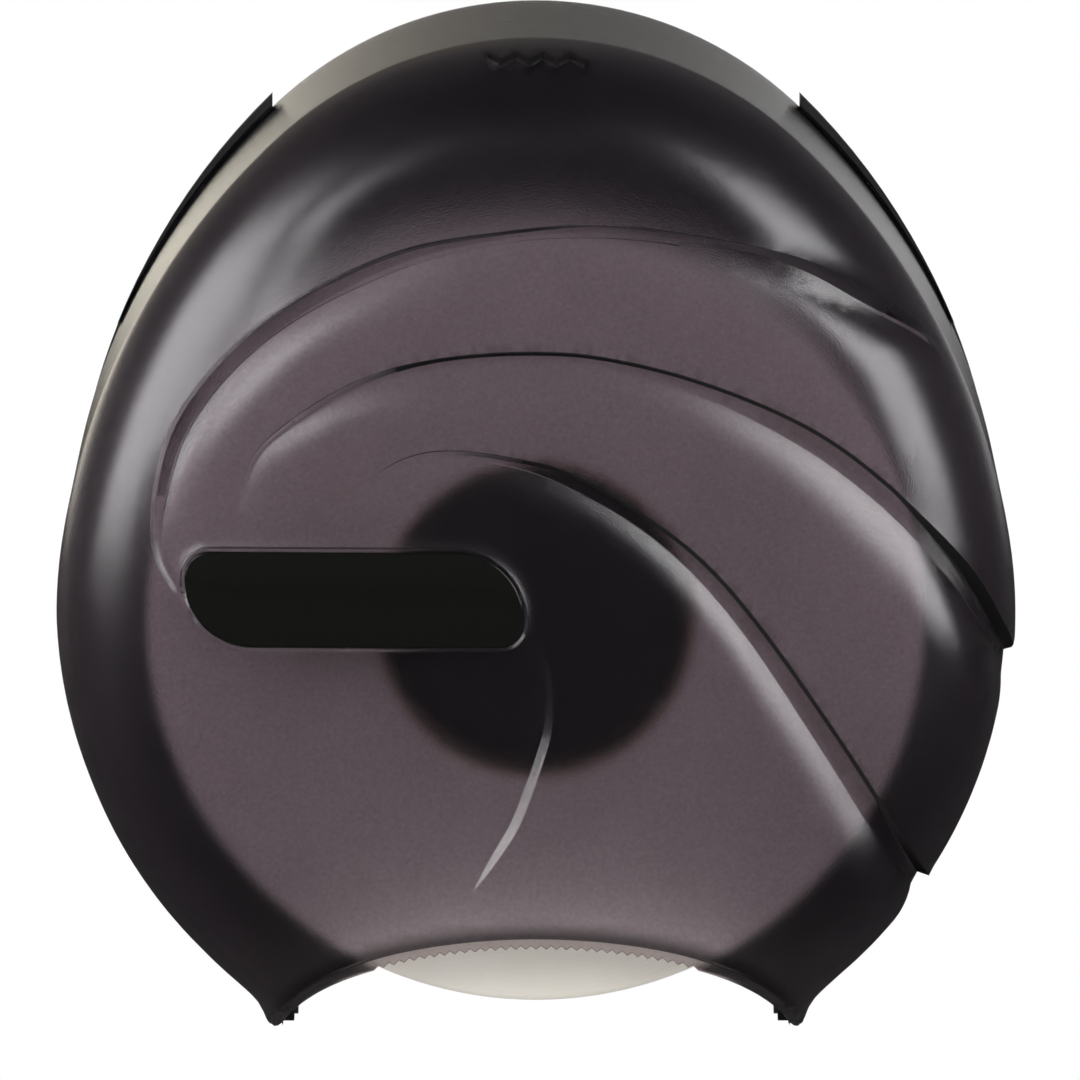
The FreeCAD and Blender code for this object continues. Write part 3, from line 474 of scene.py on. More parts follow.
def outline_arc(spots):
    """Centre and radius of the outline's arc that each spot lies in."""
    across, up = np.abs(spots[:, 0]), spots[:, 1]
    low = up <= across * math.tan(LOW_ANGLE)
    high = up - CROWN_RISE >= across * math.tan(HIGH_ANGLE)
    shoulder_x = np.where(spots[:, 0] < 0, SHOULDER_ACROSS, -SHOULDER_ACROSS)
    centre_x = np.where(low | high, 0.0, shoulder_x)
    centre_z = np.select([low, high], [0.0, CROWN_RISE], SHOULDER_DROP)
    radius = np.select([low, high], [LOWER_RADIUS, CROWN_RADIUS], SHOULDER_RADIUS)
    return np.column_stack([centre_x, centre_z]), radius


def outward(spots):
    """Inset from the outline, direction outwards, and the arc's centre and radius."""
    centre, radius = outline_arc(spots)
    spoke = spots - centre
    reach = np.linalg.norm(spoke, axis=1)
    return radius - reach, spoke / reach[:, None], centre, radius


def flat_of_plan(plan):
    """Where a spot of the front view lies on the flat pattern."""
    plan = np.asarray(plan, float)
    inset, out, centre, radius = outward(plan)
    turn = np.arcsin(np.clip(1 - (inset - DRAFT_INSET) / EDGE_ROUND, 0, 1))
    flat_inset = np.where(inset < FACE_EDGE, FACE_EDGE - EDGE_ROUND * turn, inset)
    return centre + out * (radius - flat_inset)[:, None]


def run_of(flat):
    """Length past the edge of the face, over the rounding and along the side."""
    return np.clip(FACE_EDGE - outward(flat)[0], 0, FULL_RUN)


CORNER_ANGLE = math.asin(CORNER_X / SIDE_RADIUS)
TAIL_ANGLE = math.asin((LUG_INNER + LUG_EASE) / LOWER_RADIUS)


def tail_edge_angle(run):
    """Angle of the mouth's side edge from straight down."""
    return np.interp(run, [ROUND_RUN, FULL_RUN], [CORNER_ANGLE, TAIL_ANGLE])


def past_mouth(spots, edge_angle):
    """Length round the outline from the mouth's side edge."""
    return (np.arctan2(np.abs(spots[:, 0]), -spots[:, 1]) - edge_angle) * LOWER_RADIUS


def tail_drop(run, depth):
    """How far the cover is drawn down beside the mouth: little in front, most at the hinge."""
    cusp_y = FACE_Y + EDGE_ROUND + SIDE_RADIUS ** 2 / (2 * FACE_RADIUS)
    drop = np.interp(depth, [cusp_y, HINGE_Y], [CUSP_DROP, LUG_DROP])
    behind = np.clip(depth - HINGE_Y, 0, LUG_RADIUS)
    drop -= LUG_RADIUS - np.sqrt(LUG_RADIUS ** 2 - behind ** 2)
    rear = HINGE_Y + LUG_RADIUS
    drop *= 1 - np.clip((depth - rear) / (REAR_Y - rear), 0, 1)
    return np.where(run < ROUND_RUN, CUSP_DROP * np.clip(run / ROUND_RUN, 0, 1) ** 3, drop)


def form(flat):
    """Bend the flat pattern to the cover's form: places, directions outwards and ways to the inside."""
    inset, out, centre, radius = outward(flat)
    run = np.clip(FACE_EDGE - inset, 0, FULL_RUN)
    turn = np.clip(run / EDGE_ROUND, 0, math.pi / 2)
    side = np.clip((run - ROUND_RUN) / SIDE_RUN, 0, 1)
    rounded = DRAFT_INSET * (1 - side) + EDGE_ROUND * (1 - np.sin(turn))
    plan = centre + out * (radius - np.where(run > 0, rounded, inset))[:, None]
    depth = FACE_Y + (plan ** 2).sum(1) / (2 * FACE_RADIUS) + EDGE_ROUND * (1 - np.cos(turn))
    depth += (REAR_Y - depth) * side
    normal = np.column_stack([out[:, 0] * np.sin(turn), -np.cos(turn), out[:, 1] * np.sin(turn)])

    edge_angle = tail_edge_angle(run)
    reach = past_mouth(plan, edge_angle)
    tail = np.interp(reach, TAIL_REACH, FRONT_TAIL)
    tail += (np.interp(reach, TAIL_REACH, REAR_TAIL) - tail) * side
    place = np.column_stack([plan[:, 0], depth, plan[:, 1] - tail * tail_drop(run, depth)])

    solid = np.clip(2 * tail, 0, 1) * np.clip((run - ROUND_RUN) / EDGE_ROUND, 0, 1)
    lug_face = np.linalg.norm(plan, axis=1) * np.sin(edge_angle) - LUG_EASE
    inside_x = np.sign(plan[:, 0]) * lug_face - plan[:, 0]
    into = -normal * WALL * (1 - solid)[:, None]
    into[:, 0] += inside_x * solid
    return place, normal, into


# Lines of the cover


def through(rows, step):
    """Smooth curve through rows of numbers, the first two of which are a place."""
    rows = np.asarray(rows, float)
    ends = np.vstack([2 * rows[0] - rows[1], rows, 2 * rows[-1] - rows[-2]])
    spans = []
    for before, first, last, after in zip(ends, ends[1:], ends[2:], ends[3:]):
        count = max(2, math.ceil(np.linalg.norm((last - first)[:2]) / step))
        share = np.arange(count)[:, None] / count
        bend = 2 * before - 5 * first + 4 * last - after
        twist = 3 * first - before - 3 * last + after
        spans.append(first + (last - before) * share / 2 + bend * share ** 2 / 2 + twist * share ** 3 / 2)
    return np.vstack(spans + [rows[-1:]])


def inward_of(line):
    """Directions to the right of a line."""
    along = np.gradient(line, axis=0)
    along /= np.linalg.norm(along, axis=1)[:, None]
    return np.column_stack([along[:, 1], -along[:, 0]])


def beside(spots, line):
    """Distance to the right of a line, and how far along it, for each spot."""
    start, step = line[:-1], np.diff(line, axis=0)
    length = (step ** 2).sum(1)
    distance, where = np.empty(len(spots)), np.empty(len(spots))
    block = 2000
    for first in range(0, len(spots), block):
        rel = spots[first:first + block, None, :] - start
        share = np.clip((rel * step).sum(2) / length, 0, 1)
        gap = np.linalg.norm(rel - share[..., None] * step, axis=2)
        best = gap.argmin(1)
        row = np.arange(len(best))
        turn = rel[row, best, 0] * step[best, 1] - rel[row, best, 1] * step[best, 0]
        distance[first:first + block] = np.copysign(gap[row, best], turn)
        where[first:first + block] = best + share[row, best]
    return distance, where


class Wave:
    """One wave of the face: a steep wall, a floor and a shoulder that rises back to the face."""

    def __init__(self, rows, over_side, soft_from=1):
        rows = through(np.asarray(rows) * MILLIMETRE, LINE_STEP)
        self.line = flat_of_plan(rows[:, :2])
        self.sizes = np.maximum(rows[:, 2:], 0)
        if over_side:
            count = round(WAVE_END / LINE_STEP)
            share = np.arange(1, count + 1)[:, None] / count
            out = outward(self.line[-1:])[1]
            self.line = np.vstack([self.line, self.line[-1] + share * WAVE_END * out])
            fade = (1 - share) ** 2 * (1 + 2 * share)
            kept = np.array(WAVE_END_KEPT)
            self.sizes = np.vstack([self.sizes, self.sizes[-1] * (kept + (1 - kept) * fade)])
        self.crisp = int((self.line[:, 0] < soft_from).sum())

    def lines(self):
        """The outer edge, the foot of the wall and the crease."""
        inward = inward_of(self.line)
        return [self.line, self.line + inward * self.sizes[:, :1], self.line + inward * self.sizes[:, 1:2]]

    def sizes_at(self, where):
        mark = np.arange(len(self.line))
        return [np.interp(where, mark, column) for column in self.sizes.T]

    def relief(self, spots):
        """Depth below the face."""
        distance, where = beside(spots, self.line)
        wall, floor, depth, shoulder, bank, bank_width = self.sizes_at(where)
        ridge = bank * np.clip(1 + distance / bank_width, 0, 1) ** 2
        steep = (depth + bank) * np.clip(distance / wall, 0, 1) - bank
        rise = np.clip(1 - (distance - floor) / shoulder, 0, 1) ** SHOULDER_POWER
        return np.where(distance < 0, -ridge, steep * rise)

    def painted_shade(self, spots):
        """Painted shade from 0 to 1, by how steep the wall is: on the wall itself, and on the floor in its
        shade.
        """
        distance, where = beside(spots, self.line)
        wall, floor, depth, *_ = self.sizes_at(where)
        share = np.clip((depth / wall - STEEP_FROM) / (STEEP_TO - STEEP_FROM), 0, 1)
        painted_wall_mask = (distance > 0) & (distance < wall)
        in_shade = (distance > 0) & (distance < SHADED_FLOOR * floor)
        return share * painted_wall_mask, share * in_shade


WAVES = [Wave(UPPER_WAVE, False, SOFT_FROM), Wave(MIDDLE_WAVE, True), Wave(LOWER_WAVE, True),
         Wave(SHORT_WAVE, False)]


def mouth_lines():
    """The mouth's edge on the flat pattern, from the left rear to the right rear, plain and toothed."""
    corner_sag = SIDE_RADIUS * math.cos(CORNER_ANGLE) - LIP_HEIGHT - CORNER_X ** 2 / (2 * LIP_RADIUS)
    teeth = round(TEETH_REACH / TOOTH_PITCH)
    bites = np.arange(2 * teeth + 1) * TOOTH_PITCH / 2
    across = np.append(bites, np.linspace(bites[-1], CORNER_X, LIP_CORNER_POINTS)[1:])
    sag = across ** 2 / (2 * LIP_RADIUS) + corner_sag * (across / CORNER_X) ** LIP_CORNER_POWER
    lip = flat_of_plan(np.column_stack([across, -LIP_HEIGHT - sag]))
    bite = np.where((np.arange(len(across)) % 2 == 1) & (across < bites[-1]), TOOTH_DEPTH, 0)
    toothed = lip + np.column_stack([0 * bite, bite])
    fall = 1 - (1 - np.linspace(0, 1, TAIL_POINTS)[1:]) ** TAIL_POINT_POWER
    run = ROUND_RUN + SIDE_RUN * fall
    angle = tail_edge_angle(run)
    reach = LOWER_RADIUS - FACE_EDGE + run
    tail = np.column_stack([reach * np.sin(angle), -reach * np.cos(angle)])
    whole = []
    for edge in (np.vstack([lip, tail]), np.vstack([toothed, tail])):
        whole.append(np.vstack([(edge * (-1, 1))[:0:-1], edge]))
    return whole


def rear_line():
    """The cover's rear edge on the flat pattern, from the right tail over the top to the left one."""
    grown = FULL_RUN - FACE_EDGE
    arcs = [(0, 0, LOWER_RADIUS, TAIL_ANGLE - math.pi / 2, LOW_ANGLE),
            (-SHOULDER_ACROSS, SHOULDER_DROP, SHOULDER_RADIUS, LOW_ANGLE, HIGH_ANGLE),
            (0, CROWN_RISE, CROWN_RADIUS, HIGH_ANGLE, math.pi / 2)]
    spans = []
    for across, up, radius, first, last in arcs:
        count = math.ceil(radius * (last - first) / SIDE_STEP)
        angle = np.linspace(first, last, count + 1)[1:]
        spans.append(np.column_stack([across + (radius + grown) * np.cos(angle),
                                      up + (radius + grown) * np.sin(angle)]))
    right = np.vstack(spans)
    return np.vstack([right, (right * (-1, 1))[-2::-1]])[:-1]


def badge_line(grow):
    """The badge's outline in the front view, with two sharp and two round corners."""
    left, right = BADGE_LOW.x - grow, BADGE_HIGH.x + grow
    low, high = BADGE_LOW.z - grow, BADGE_HIGH.z + grow
    sharp = BADGE_SHARP + grow
    soft = high - low - sharp - BADGE_END_FLAT
    corners = [(right - soft, high - soft, soft, 0), (left + sharp, high - sharp, sharp, 90),
               (left + soft, low + soft, soft, 180), (right - sharp, low + sharp, sharp, 270)]
    spots = []
    for across, up, radius, first in corners:
        count = math.ceil(radius * math.pi / 2 / LINE_STEP)
        for angle in np.radians(first + 90 * np.arange(count + 1) / count):
            spots.append((across + radius * math.cos(angle), up + radius * math.sin(angle)))
    return np.array(spots)


def spaced(line, step):
    """A closed line with its long runs divided."""
    spots = []
    for first, last in zip(line, np.roll(line, -1, axis=0)):
        count = max(1, math.ceil(np.linalg.norm(last - first) / step))
        spots.extend(first + (last - first) * np.arange(count)[:, None] / count)
    return np.array(spots)


def key_line():
    """The zigzag key slot on the flat pattern."""
    top = CROWN_RISE + CROWN_RADIUS - FACE_EDGE + KEY_RUN
    across = np.linspace(-KEY_HALF, KEY_HALF, KEY_LEGS + 1)
    up = top + np.where(np.arange(KEY_LEGS + 1) % 2, -0.5, 0.5) * KEY_WAVE
    lower = np.column_stack([across, up - KEY_WIDTH / 2])
    upper = np.column_stack([across, up + KEY_WIDTH / 2])
    return np.vstack([lower, upper[::-1]])


def inside(spots, line):
    """Which spots lie within a closed line."""
    crossings = np.zeros(len(spots), int)
    for (x1, z1), (x2, z2) in zip(line, np.roll(line, -1, axis=0)):
        if z1 != z2:
            spans = (spots[:, 1] > min(z1, z2)) & (spots[:, 1] <= max(z1, z2))
            crossings += spans & (spots[:, 0] < x1 + (spots[:, 1] - z1) * (x2 - x1) / (z2 - z1))
    return crossings % 2 == 1


LIP_LINE, TOOTHED_LINE = mouth_lines()
KEY_LINE = key_line()


def lip_relief(spots):
    """The band above the teeth is set back behind the face's rounded lower edge."""
    height = -beside(spots, LIP_LINE)[0]
    fade = np.clip(2 - run_of(spots) / ROUND_RUN * 1.6, 0, 1)
    steps = [LIP_BAND - LIP_STEP_RUN, LIP_BAND, LIP_BAND + 0.3 * LIP_ROUND, LIP_BAND + 0.6 * LIP_ROUND,
             LIP_BAND + LIP_ROUND]
    return fade * np.interp(height, steps, np.array(LIP_PROFILE) * LIP_STEP)


def side_relief(spots):
    """The sides are set in below the middle wave, most on the right."""
    run = run_of(spots)
    below = np.degrees(np.arctan2(-spots[:, 1], np.abs(spots[:, 0])))
    right = np.interp(below, RIGHT_SIDE_DEGREES, RIGHT_SIDE_INSETS)
    left = np.interp(below, LEFT_SIDE_DEGREES, LEFT_SIDE_INSETS)
    rounded = np.clip(1.5 * run / ROUND_RUN - 0.5, 0, 1)
    rear = np.clip(1 - (run - ROUND_RUN) / SIDE_INSET_RUN, 0, 1)
    return np.where(spots[:, 0] > 0, right, left) * MILLIMETRE * rounded * rear


def gap_to(spots, outline):
    """Distance from a closed line."""
    return np.abs(beside(spots, np.vstack([outline, outline[:1]]))[0])


def badge_relief(spots):
    """A shallow seat for the badge inside a thin raised rim."""
    outline = spaced(badge_line(BADGE_GAP), LINE_STEP)
    distance = gap_to(spots, outline)
    within = inside(spots, outline)
    rim = -RIM_RISE * np.clip(1.6 - np.abs(distance / RIM_WIDTH - 0.5) * 2.4, 0, 1)
    seat = BADGE_SEAT * np.clip(distance / BADGE_GAP, 0, 1)
    return np.where(within, seat, rim)


def cover_pattern():
    """Triangles of the flat pattern, whose edges follow every line of the cover."""
    spots, edges, crisp = [], [], set()

    def add_line(line, closed=False, sharp=False):
        first = len(spots)
        spots.extend(line)
        count = len(line)
        for index in range(count if closed else count - 1):
            if sharp:
                crisp.add(len(edges))
            edges.append((first + index, first + (index + 1) % count))

    border = np.vstack([TOOTHED_LINE, rear_line()])
    add_line(border, closed=True)
    add_line(KEY_LINE, closed=True)
    for wave in WAVES:
        edge, foot, crease = wave.lines()
        add_line(edge)
        add_line(foot)
        add_line(crease[:wave.crisp], sharp=True)
        add_line(crease[wave.crisp - 1:])
    for grow in (RIM_WIDTH, 0.6 * RIM_WIDTH, 0, -BADGE_GAP):
        add_line(spaced(badge_line(BADGE_GAP + grow), LINE_STEP), closed=True)
    lip_rows = LIP_LINE[np.abs(LIP_LINE[:, 0]) < CORNER_X]
    for rise in (LIP_BAND - LIP_STEP_RUN, LIP_BAND, LIP_BAND + 0.5 * LIP_ROUND, LIP_BAND + LIP_ROUND):
        add_line(lip_rows - inward_of(lip_rows) * rise)
    tail_rows = LIP_LINE[run_of(LIP_LINE) > TAIL_START]
    for beyond in TAIL_REACH[3:]:
        turn = np.arctan2(np.abs(tail_rows[:, 0]), -tail_rows[:, 1]) + beyond / LOWER_RADIUS
        reach = np.linalg.norm(tail_rows, axis=1)
        row = np.column_stack([np.sign(tail_rows[:, 0]) * reach * np.sin(turn), -reach * np.cos(turn)])
        spots.extend(row)

    tree = KDTree(len(spots))
    for index, (across, up) in enumerate(spots):
        tree.insert((across, up, 0), index)
    tree.balance()
    limit = LOWER_RADIUS + CROWN_RISE + FULL_RUN
    zones = [(FACE_STEP, -limit, ROUND_RUN + SIDE_STEP), (SIDE_STEP, ROUND_RUN + SIDE_STEP, BACK_RUN),
             (BACK_STEP, BACK_RUN, FULL_RUN - SIDE_STEP)]
    for step, nearest, furthest in zones:
        rows = np.arange(-limit, limit, step * math.sqrt(0.75))
        columns = np.arange(-limit, limit, step)
        across, up = np.meshgrid(columns, rows)
        across = across + (np.arange(len(rows)) % 2)[:, None] * step / 2
        grid = np.column_stack([across.ravel(), up.ravel()])
        run = FACE_EDGE - outward(grid)[0]
        grid = grid[(run >= nearest) & (run < furthest)]
        grid = grid[inside(grid, border)]
        spots.extend(spot for spot in grid if tree.find((*spot, 0))[2] > NEAREST_SHARE * step)

    vectors = [Vector(spot) for spot in spots]
    flat, joined, faces, _, origins, _ = delaunay_2d_cdt(vectors, edges, [], 1, WELD_GAP)
    flat = np.array([tuple(spot) for spot in flat])
    middles = np.array([flat[list(face)].mean(0) for face in faces])
    kept = inside(middles, border) & ~inside(middles, KEY_LINE)
    faces = [face for face, keep in zip(faces, kept) if keep]
    sharp = [edge for edge, origin in zip(joined, origins) if crisp.intersection(origin)]
    return flat, faces, sharp


def lip_painted_shading(spots):
    """Painted light on the thin lip, which is paler, and painted shade on the rounded edge over it."""
    height = -beside(spots, LIP_LINE)[0]
    on_front = np.clip(2 - run_of(spots) / ROUND_RUN * 2, 0, 1)
    steps = [LIP_BAND - LIP_STEP_RUN, LIP_BAND, LIP_BAND + LIP_ROUND, LIP_BAND + 3 * LIP_ROUND]
    return on_front * np.interp(height, steps, LIP_PAINTED_SHADING)


def tail_painted_light(spots):
    """The tails are thin, and painted paler as painted light."""
    run = run_of(spots)
    reach = past_mouth(spots, tail_edge_angle(run))
    on_side = np.clip((run - TAIL_START) / (ROUND_RUN - TAIL_START), 0, 1)
    return TAIL_PAINTED_LIGHT * on_side * np.clip(2 - reach / TAIL_REACH[-3], 0, 1)


def key_painted_shade(spots):
    """Painted shade along the key slot's edges."""
    on_edge = gap_to(spots, spaced(KEY_LINE, LINE_STEP)) < KEY_WIDTH / 10
    return on_edge.astype(float)


def applied(piece, kind, tool):
    """Join or cut a piece with a second one, which is used up."""
    modifier = piece.modifiers.new(kind, "BOOLEAN")
    modifier.operation = kind
    modifier.solver = "MANIFOLD"
    modifier.object = tool
    bpy.context.view_layer.update()
    result = piece.evaluated_get(bpy.context.evaluated_depsgraph_get())
    old = piece.data
    mesh = bpy.data.meshes.new_from_object(result)
    piece.modifiers.clear()
    piece.data = mesh
    bpy.data.meshes.remove(old)
    bpy.data.objects.remove(tool)


def pin_bores():
    """Two blind bores for the hinge pins, one in each tail."""
    bm = bmesh.new()
    radius = PIN_RADIUS + PIN_FIT
    start, end = LUG_INNER - LUG_THICK, PIN_HIGH.x + PIN_FIT
    for side in (-1, 1):
        turn = Matrix.Rotation(math.pi / 2, 4, "Y")
        place = Matrix.Translation((side * (start + end) / 2, HINGE_Y, HINGE_Z))
        bmesh.ops.create_cone(bm, cap_ends=True, segments=BORE_SIDES, radius1=radius, radius2=radius,
                              depth=end - start, matrix=place @ turn)
    return loose_piece("pin_bores", bm)


def catch_rib():
    """Rib inside the cover's top that the latch hooks."""
    bm = bmesh.new()
    size = (2 * CATCH_HALF, CATCH_REAR - CATCH_FRONT, CATCH_HIGH - CATCH_LOW)
    middle = (0, (CATCH_FRONT + CATCH_REAR) / 2, (CATCH_HIGH + CATCH_LOW) / 2)
    bmesh.ops.create_cube(bm, size=1, matrix=Matrix.Translation(middle) @ Matrix.Diagonal((*size, 1)))
    # Every face of the rib gets the steep walls' painted shade, so the rib shows near-black.
    wall = bm.faces.layers.float.new("wall")
    for face in bm.faces:
        face[wall] = 1
    lower = [edge for edge in bm.edges if all(vert.co.z < middle[2] for vert in edge.verts)]
    bmesh.ops.bevel(bm, geom=lower, offset=CATCH_EASE, segments=2, profile=0.5, affect="EDGES",
                    material=-1)
    return loose_piece("catch_rib", bm)


def make_cover():
    """Smoked cover: waves, badge seat, key slot, toothed lip and tails in one shell."""
    flat, faces, sharp = cover_pattern()
    places, normals, ways = form(flat)
    relief = badge_relief(flat) + lip_relief(flat) + side_relief(flat)
    relief += sum(wave.relief(flat) for wave in WAVES)
    places -= normals * relief[:, None]
    # Painted light and shade in the tint: pale lip and tails, dark band over the lip, key slot edges,
    # shaded wave floors and dark steep walls.
    painted_shading_amounts = lip_painted_shading(flat) + tail_painted_light(flat) + key_painted_shade(flat)
    painted_shading_amounts += FLOOR_PAINTED_SHADE * sum(wave.painted_shade(flat)[1] for wave in WAVES)
    middles = np.array([flat[list(face)].mean(0) for face in faces])
    painted_wall_shade = sum(wave.painted_shade(middles)[0] for wave in WAVES)

    bm = bmesh.new()
    into = bm.verts.layers.float_vector.new("into")
    painted_shading = bm.verts.layers.float.new("painted_shading")
    wall = bm.faces.layers.float.new("wall")
    verts = []
    for place, way, amount in zip(places, ways, painted_shading_amounts):
        vert = bm.verts.new(place)
        vert[into] = way
        vert[painted_shading] = amount
        verts.append(vert)
    for face, amount in zip(faces, painted_wall_shade):
        bm.faces.new([verts[index] for index in face])[wall] = amount
    for first, last in sharp:
        edge = bm.edges.get((verts[first], verts[last]))
        if edge is not None:
            edge.smooth = False
    bmesh.ops.delete(bm, geom=[vert for vert in bm.verts if not vert.link_faces], context="VERTS")
    inside_wall = bmesh.ops.extrude_face_region(bm, geom=bm.faces[:], use_keep_orig=True)
    for item in inside_wall["geom"]:
        if isinstance(item, bmesh.types.BMVert):
            item.co += item[into]
    bm.verts.layers.float_vector.remove(into)
    # The sides of the key slot get the same painted shade as a steep wall.
    for face in bm.faces:
        if all(vert[painted_shading] == 1 for vert in face.verts):
            face[wall] = 1
    bmesh.ops.recalc_face_normals(bm, faces=bm.faces[:])
    shade_by_angle(bm, COVER_CREASE)
    cover = finish_piece("cover_skin", bm, "smoked_cover", "cover", "cover_shell")
    applied(cover, "DIFFERENCE", pin_bores())
    applied(cover, "UNION", catch_rib())
    return cover


def make_badge():
    """Bare gloss plate with an eased edge, bowed like the face that it lies in."""
    bm = bmesh.new()
    outline = [bm.verts.new((across, 0, up)) for across, up in badge_line(0)]
    bmesh.ops.contextual_create(bm, geom=outline)
    for across in np.arange(BADGE_LOW.x, BADGE_HIGH.x, BADGE_BOW_STEP):
        bmesh.ops.bisect_plane(bm, geom=bm.verts[:] + bm.edges[:] + bm.faces[:],
                               plane_co=(across, 0, 0), plane_no=(1, 0, 0))
    bmesh.ops.recalc_face_normals(bm, faces=bm.faces[:])
    back = bmesh.ops.extrude_face_region(bm, geom=bm.faces[:], use_keep_orig=True)
    behind = [item for item in back["geom"] if isinstance(item, bmesh.types.BMVert)]
    for vert in behind:
        vert.co.y = BADGE_SEAT - BADGE_PLAY
    bmesh.ops.recalc_face_normals(bm, faces=bm.faces[:])
    rim = [edge for edge in bm.edges if edge.calc_face_angle(0) > 1 and
           all(vert.co.y < BADGE_EASE for vert in edge.verts)]
    bmesh.ops.bevel(bm, geom=rim, offset=BADGE_EASE, segments=3, profile=0.5, affect="EDGES",
                    material=-1)
    for vert in bm.verts:
        vert.co.y += FACE_Y + (vert.co.x ** 2 + vert.co.z ** 2) / (2 * FACE_RADIUS)
    shade_by_angle(bm, PLAIN_CREASE)
    return finish_piece("badge_plate", bm, "badge_gloss", "cover", "badge")


def make_roll():
    """Wound roll with softly rounded edges."""
    low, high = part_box("tissue_roll")
    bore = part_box("roll_core")[1].x + CORE_GAP
    bm = bmesh.new()
    profile = [(bore, high.y)]
    for centre_y, first in ((high.y - ROLL_EDGE, 90), (low.y + ROLL_EDGE, 0)):
        for step in range(ROLL_EDGE_STEPS + 1):
            angle = math.radians(first - 90 * step / ROLL_EDGE_STEPS)
            across = high.x - ROLL_EDGE + ROLL_EDGE * math.cos(angle)
            profile.append((across, centre_y + ROLL_EDGE * math.sin(angle)))
    profile.append((bore, low.y))
    verts = [bm.verts.new((across, along, 0)) for across, along in profile]
    for first, last in zip(verts, verts[1:] + verts[:1]):
        bm.edges.new((first, last))
    bmesh.ops.spin(bm, geom=bm.verts[:] + bm.edges[:], cent=(0, 0, 0), axis=(0, 1, 0), dvec=(0, 0, 0),
                   angle=2 * math.pi, steps=ROLL_SIDES, use_merge=True)
    bmesh.ops.remove_doubles(bm, verts=bm.verts[:], dist=MERGE_GAP)
    bmesh.ops.recalc_face_normals(bm, faces=bm.faces[:])
    shade_by_angle(bm, PLAIN_CREASE)
    return finish_piece("wound_tissue", bm, "tissue", "roll", "tissue_roll")


for part in frame["record"]["subparts"]:
    dress(frame["nodes"][part["node"]], part["material_slot"])
make_cover()
make_badge()
make_roll()


# Stage

scene = bpy.context.scene
scene.view_settings.view_transform = "Standard"

# Camera, fitted to the outline in the photo
AIM = Vector((0.0011, -0.0679, 0.0151))
CAMERA_PLACE = Vector((0, -2.0505, 0.2784))
LENS = 243.5
SENSOR = 36

# Lights, floor and room
BOX_DISTANCE = 1.5
FLOOR_HALF = 6
FLOOR_LEVEL = -0.2
FLOOR_COLOUR = (0.7, 0.7, 0.7, 1)
FLOOR_MIRRORED = (0.03, 0.03, 0.03, 1)
ROOM_LEVEL = 0.42
ROOM_MIRRORED = 0.04
ROOM_COLOUR = (1, 1, 1, 1)
ROOM_WARM_COLOUR = (1, 0.94, 0.80, 1)

camera = bpy.data.objects.new("camera", bpy.data.cameras.new("camera"))
camera.data.sensor_width = SENSOR
camera.data.lens = LENS
camera.location = CAMERA_PLACE
camera.rotation_euler = (AIM - CAMERA_PLACE).to_track_quat("-Z", "Y").to_euler()
scene.collection.objects.link(camera)
scene.camera = camera


def soft_box(name, aside, above, width, height, power):
    """Soft light on the part, so many degrees aside from the front and above the floor."""
    lamp = bpy.data.lights.new(name, "AREA")
    lamp.shape = "RECTANGLE"
    lamp.size, lamp.size_y, lamp.energy = width, height, power
    box = bpy.data.objects.new(name, lamp)
    aside, above = math.radians(aside), math.radians(above)
    way = Vector((math.sin(aside) * math.cos(above), -math.cos(aside) * math.cos(above), math.sin(above)))
    box.location = AIM + BOX_DISTANCE * way
    box.rotation_euler = (-way).to_track_quat("-Z", "Y").to_euler()
    scene.collection.objects.link(box)


soft_box("left_box", -66, 20, 1.0, 0.93, 14.5)
soft_box("right_box", 49, 20, 0.97, 0.92, 13.6)
soft_box("left_fill", -30, 19, 0.46, 0.37, 2.9)


def light_path(tree, *names):
    """One for each kind of ray that is named."""
    rays = tree.nodes.new("ShaderNodeLightPath")
    return [Wire(tree, rays.outputs[name]) for name in names]


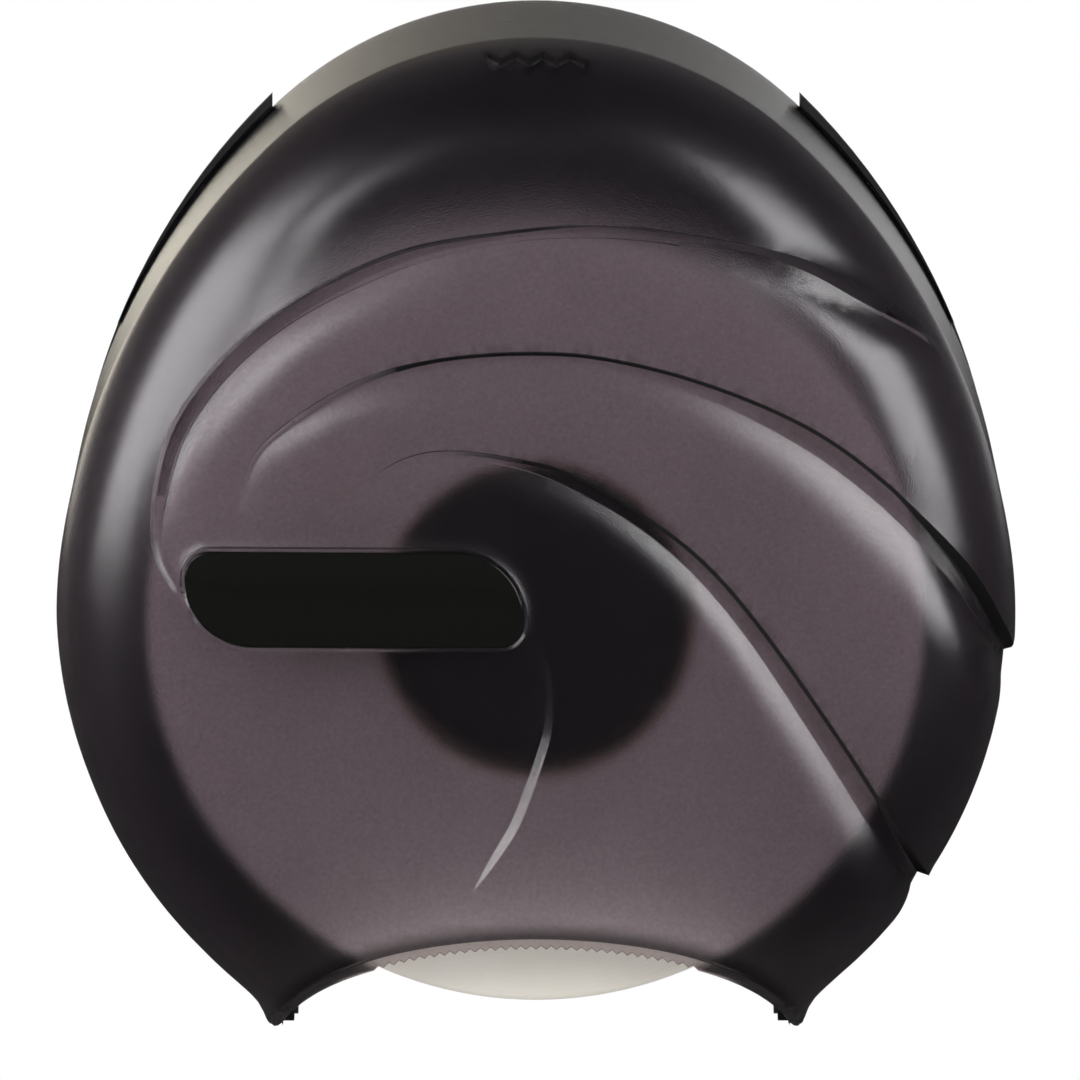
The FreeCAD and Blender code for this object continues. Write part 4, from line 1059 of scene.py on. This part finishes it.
def make_floor():
    """White to the eye, dim when it is mirrored, and pale to all other rays."""
    bm = bmesh.new()
    bmesh.ops.create_grid(bm, x_segments=1, y_segments=1, size=FLOOR_HALF)
    bmesh.ops.translate(bm, verts=bm.verts[:], vec=(0, 0, FLOOR_LEVEL))
    floor = loose_piece("floor", bm)
    material, tree = new_material("floor")
    pale = Wire.node(tree, "ShaderNodeBsdfDiffuse", {}, {"Color": FLOOR_COLOUR})
    glow = Wire.node(tree, "ShaderNodeEmission", {}, {"Color": ROOM_COLOUR, "Strength": 1.0})
    dim = Wire.node(tree, "ShaderNodeBsdfDiffuse", {}, {"Color": FLOOR_MIRRORED})
    camera_ray, glossy_ray = light_path(tree, "Is Camera Ray", "Is Glossy Ray")
    plain = Wire.node(tree, "ShaderNodeMixShader", {}, {0: glossy_ray, 1: pale, 2: dim})
    show(Wire.node(tree, "ShaderNodeMixShader", {}, {0: camera_ray, 1: plain, 2: glow}))
    floor.data.materials.append(material)


make_floor()


def make_world():
    """White to the eye. Mirrored, it is white behind and low down and dim in front and above."""
    world = bpy.data.worlds.new("studio")
    world.use_nodes = True
    tree = world.node_tree
    tree.nodes.clear()
    spot = Wire.node(tree, "ShaderNodeTexCoord", {}, {}, "Generated")
    across, along, up = parts_of(spot)

    def eased(value, start, end, first, last):
        return Wire.node(tree, "ShaderNodeMapRange", {"interpolation_type": "SMOOTHSTEP"},
                         {0: value, 1: start, 2: end, 3: first, 4: last})

    behind = eased(along, 0.6, 0.9, 0.0, 1.0)
    low = eased(up, 0.02, 0.12, 1.0, 0.05)
    left = eased(across, -0.15, 0.2, 1.4, 0.6)
    camera_ray, diffuse_ray = light_path(tree, "Is Camera Ray", "Is Diffuse Ray")
    mirrored = ROOM_MIRRORED + behind * low * left
    level = camera_ray + (1 - camera_ray) * (diffuse_ray * ROOM_LEVEL + (1 - diffuse_ray) * mirrored)
    warmth = (1 - camera_ray) * behind * eased(across, -0.15, 0.2, 1.0, 0.0)
    colour = blend_colour(tree, warmth, ROOM_COLOUR, ROOM_WARM_COLOUR)
    back = Wire.node(tree, "ShaderNodeBackground", {}, {"Color": colour, "Strength": level})
    show(back, "ShaderNodeOutputWorld")
    scene.world = world


make_world()
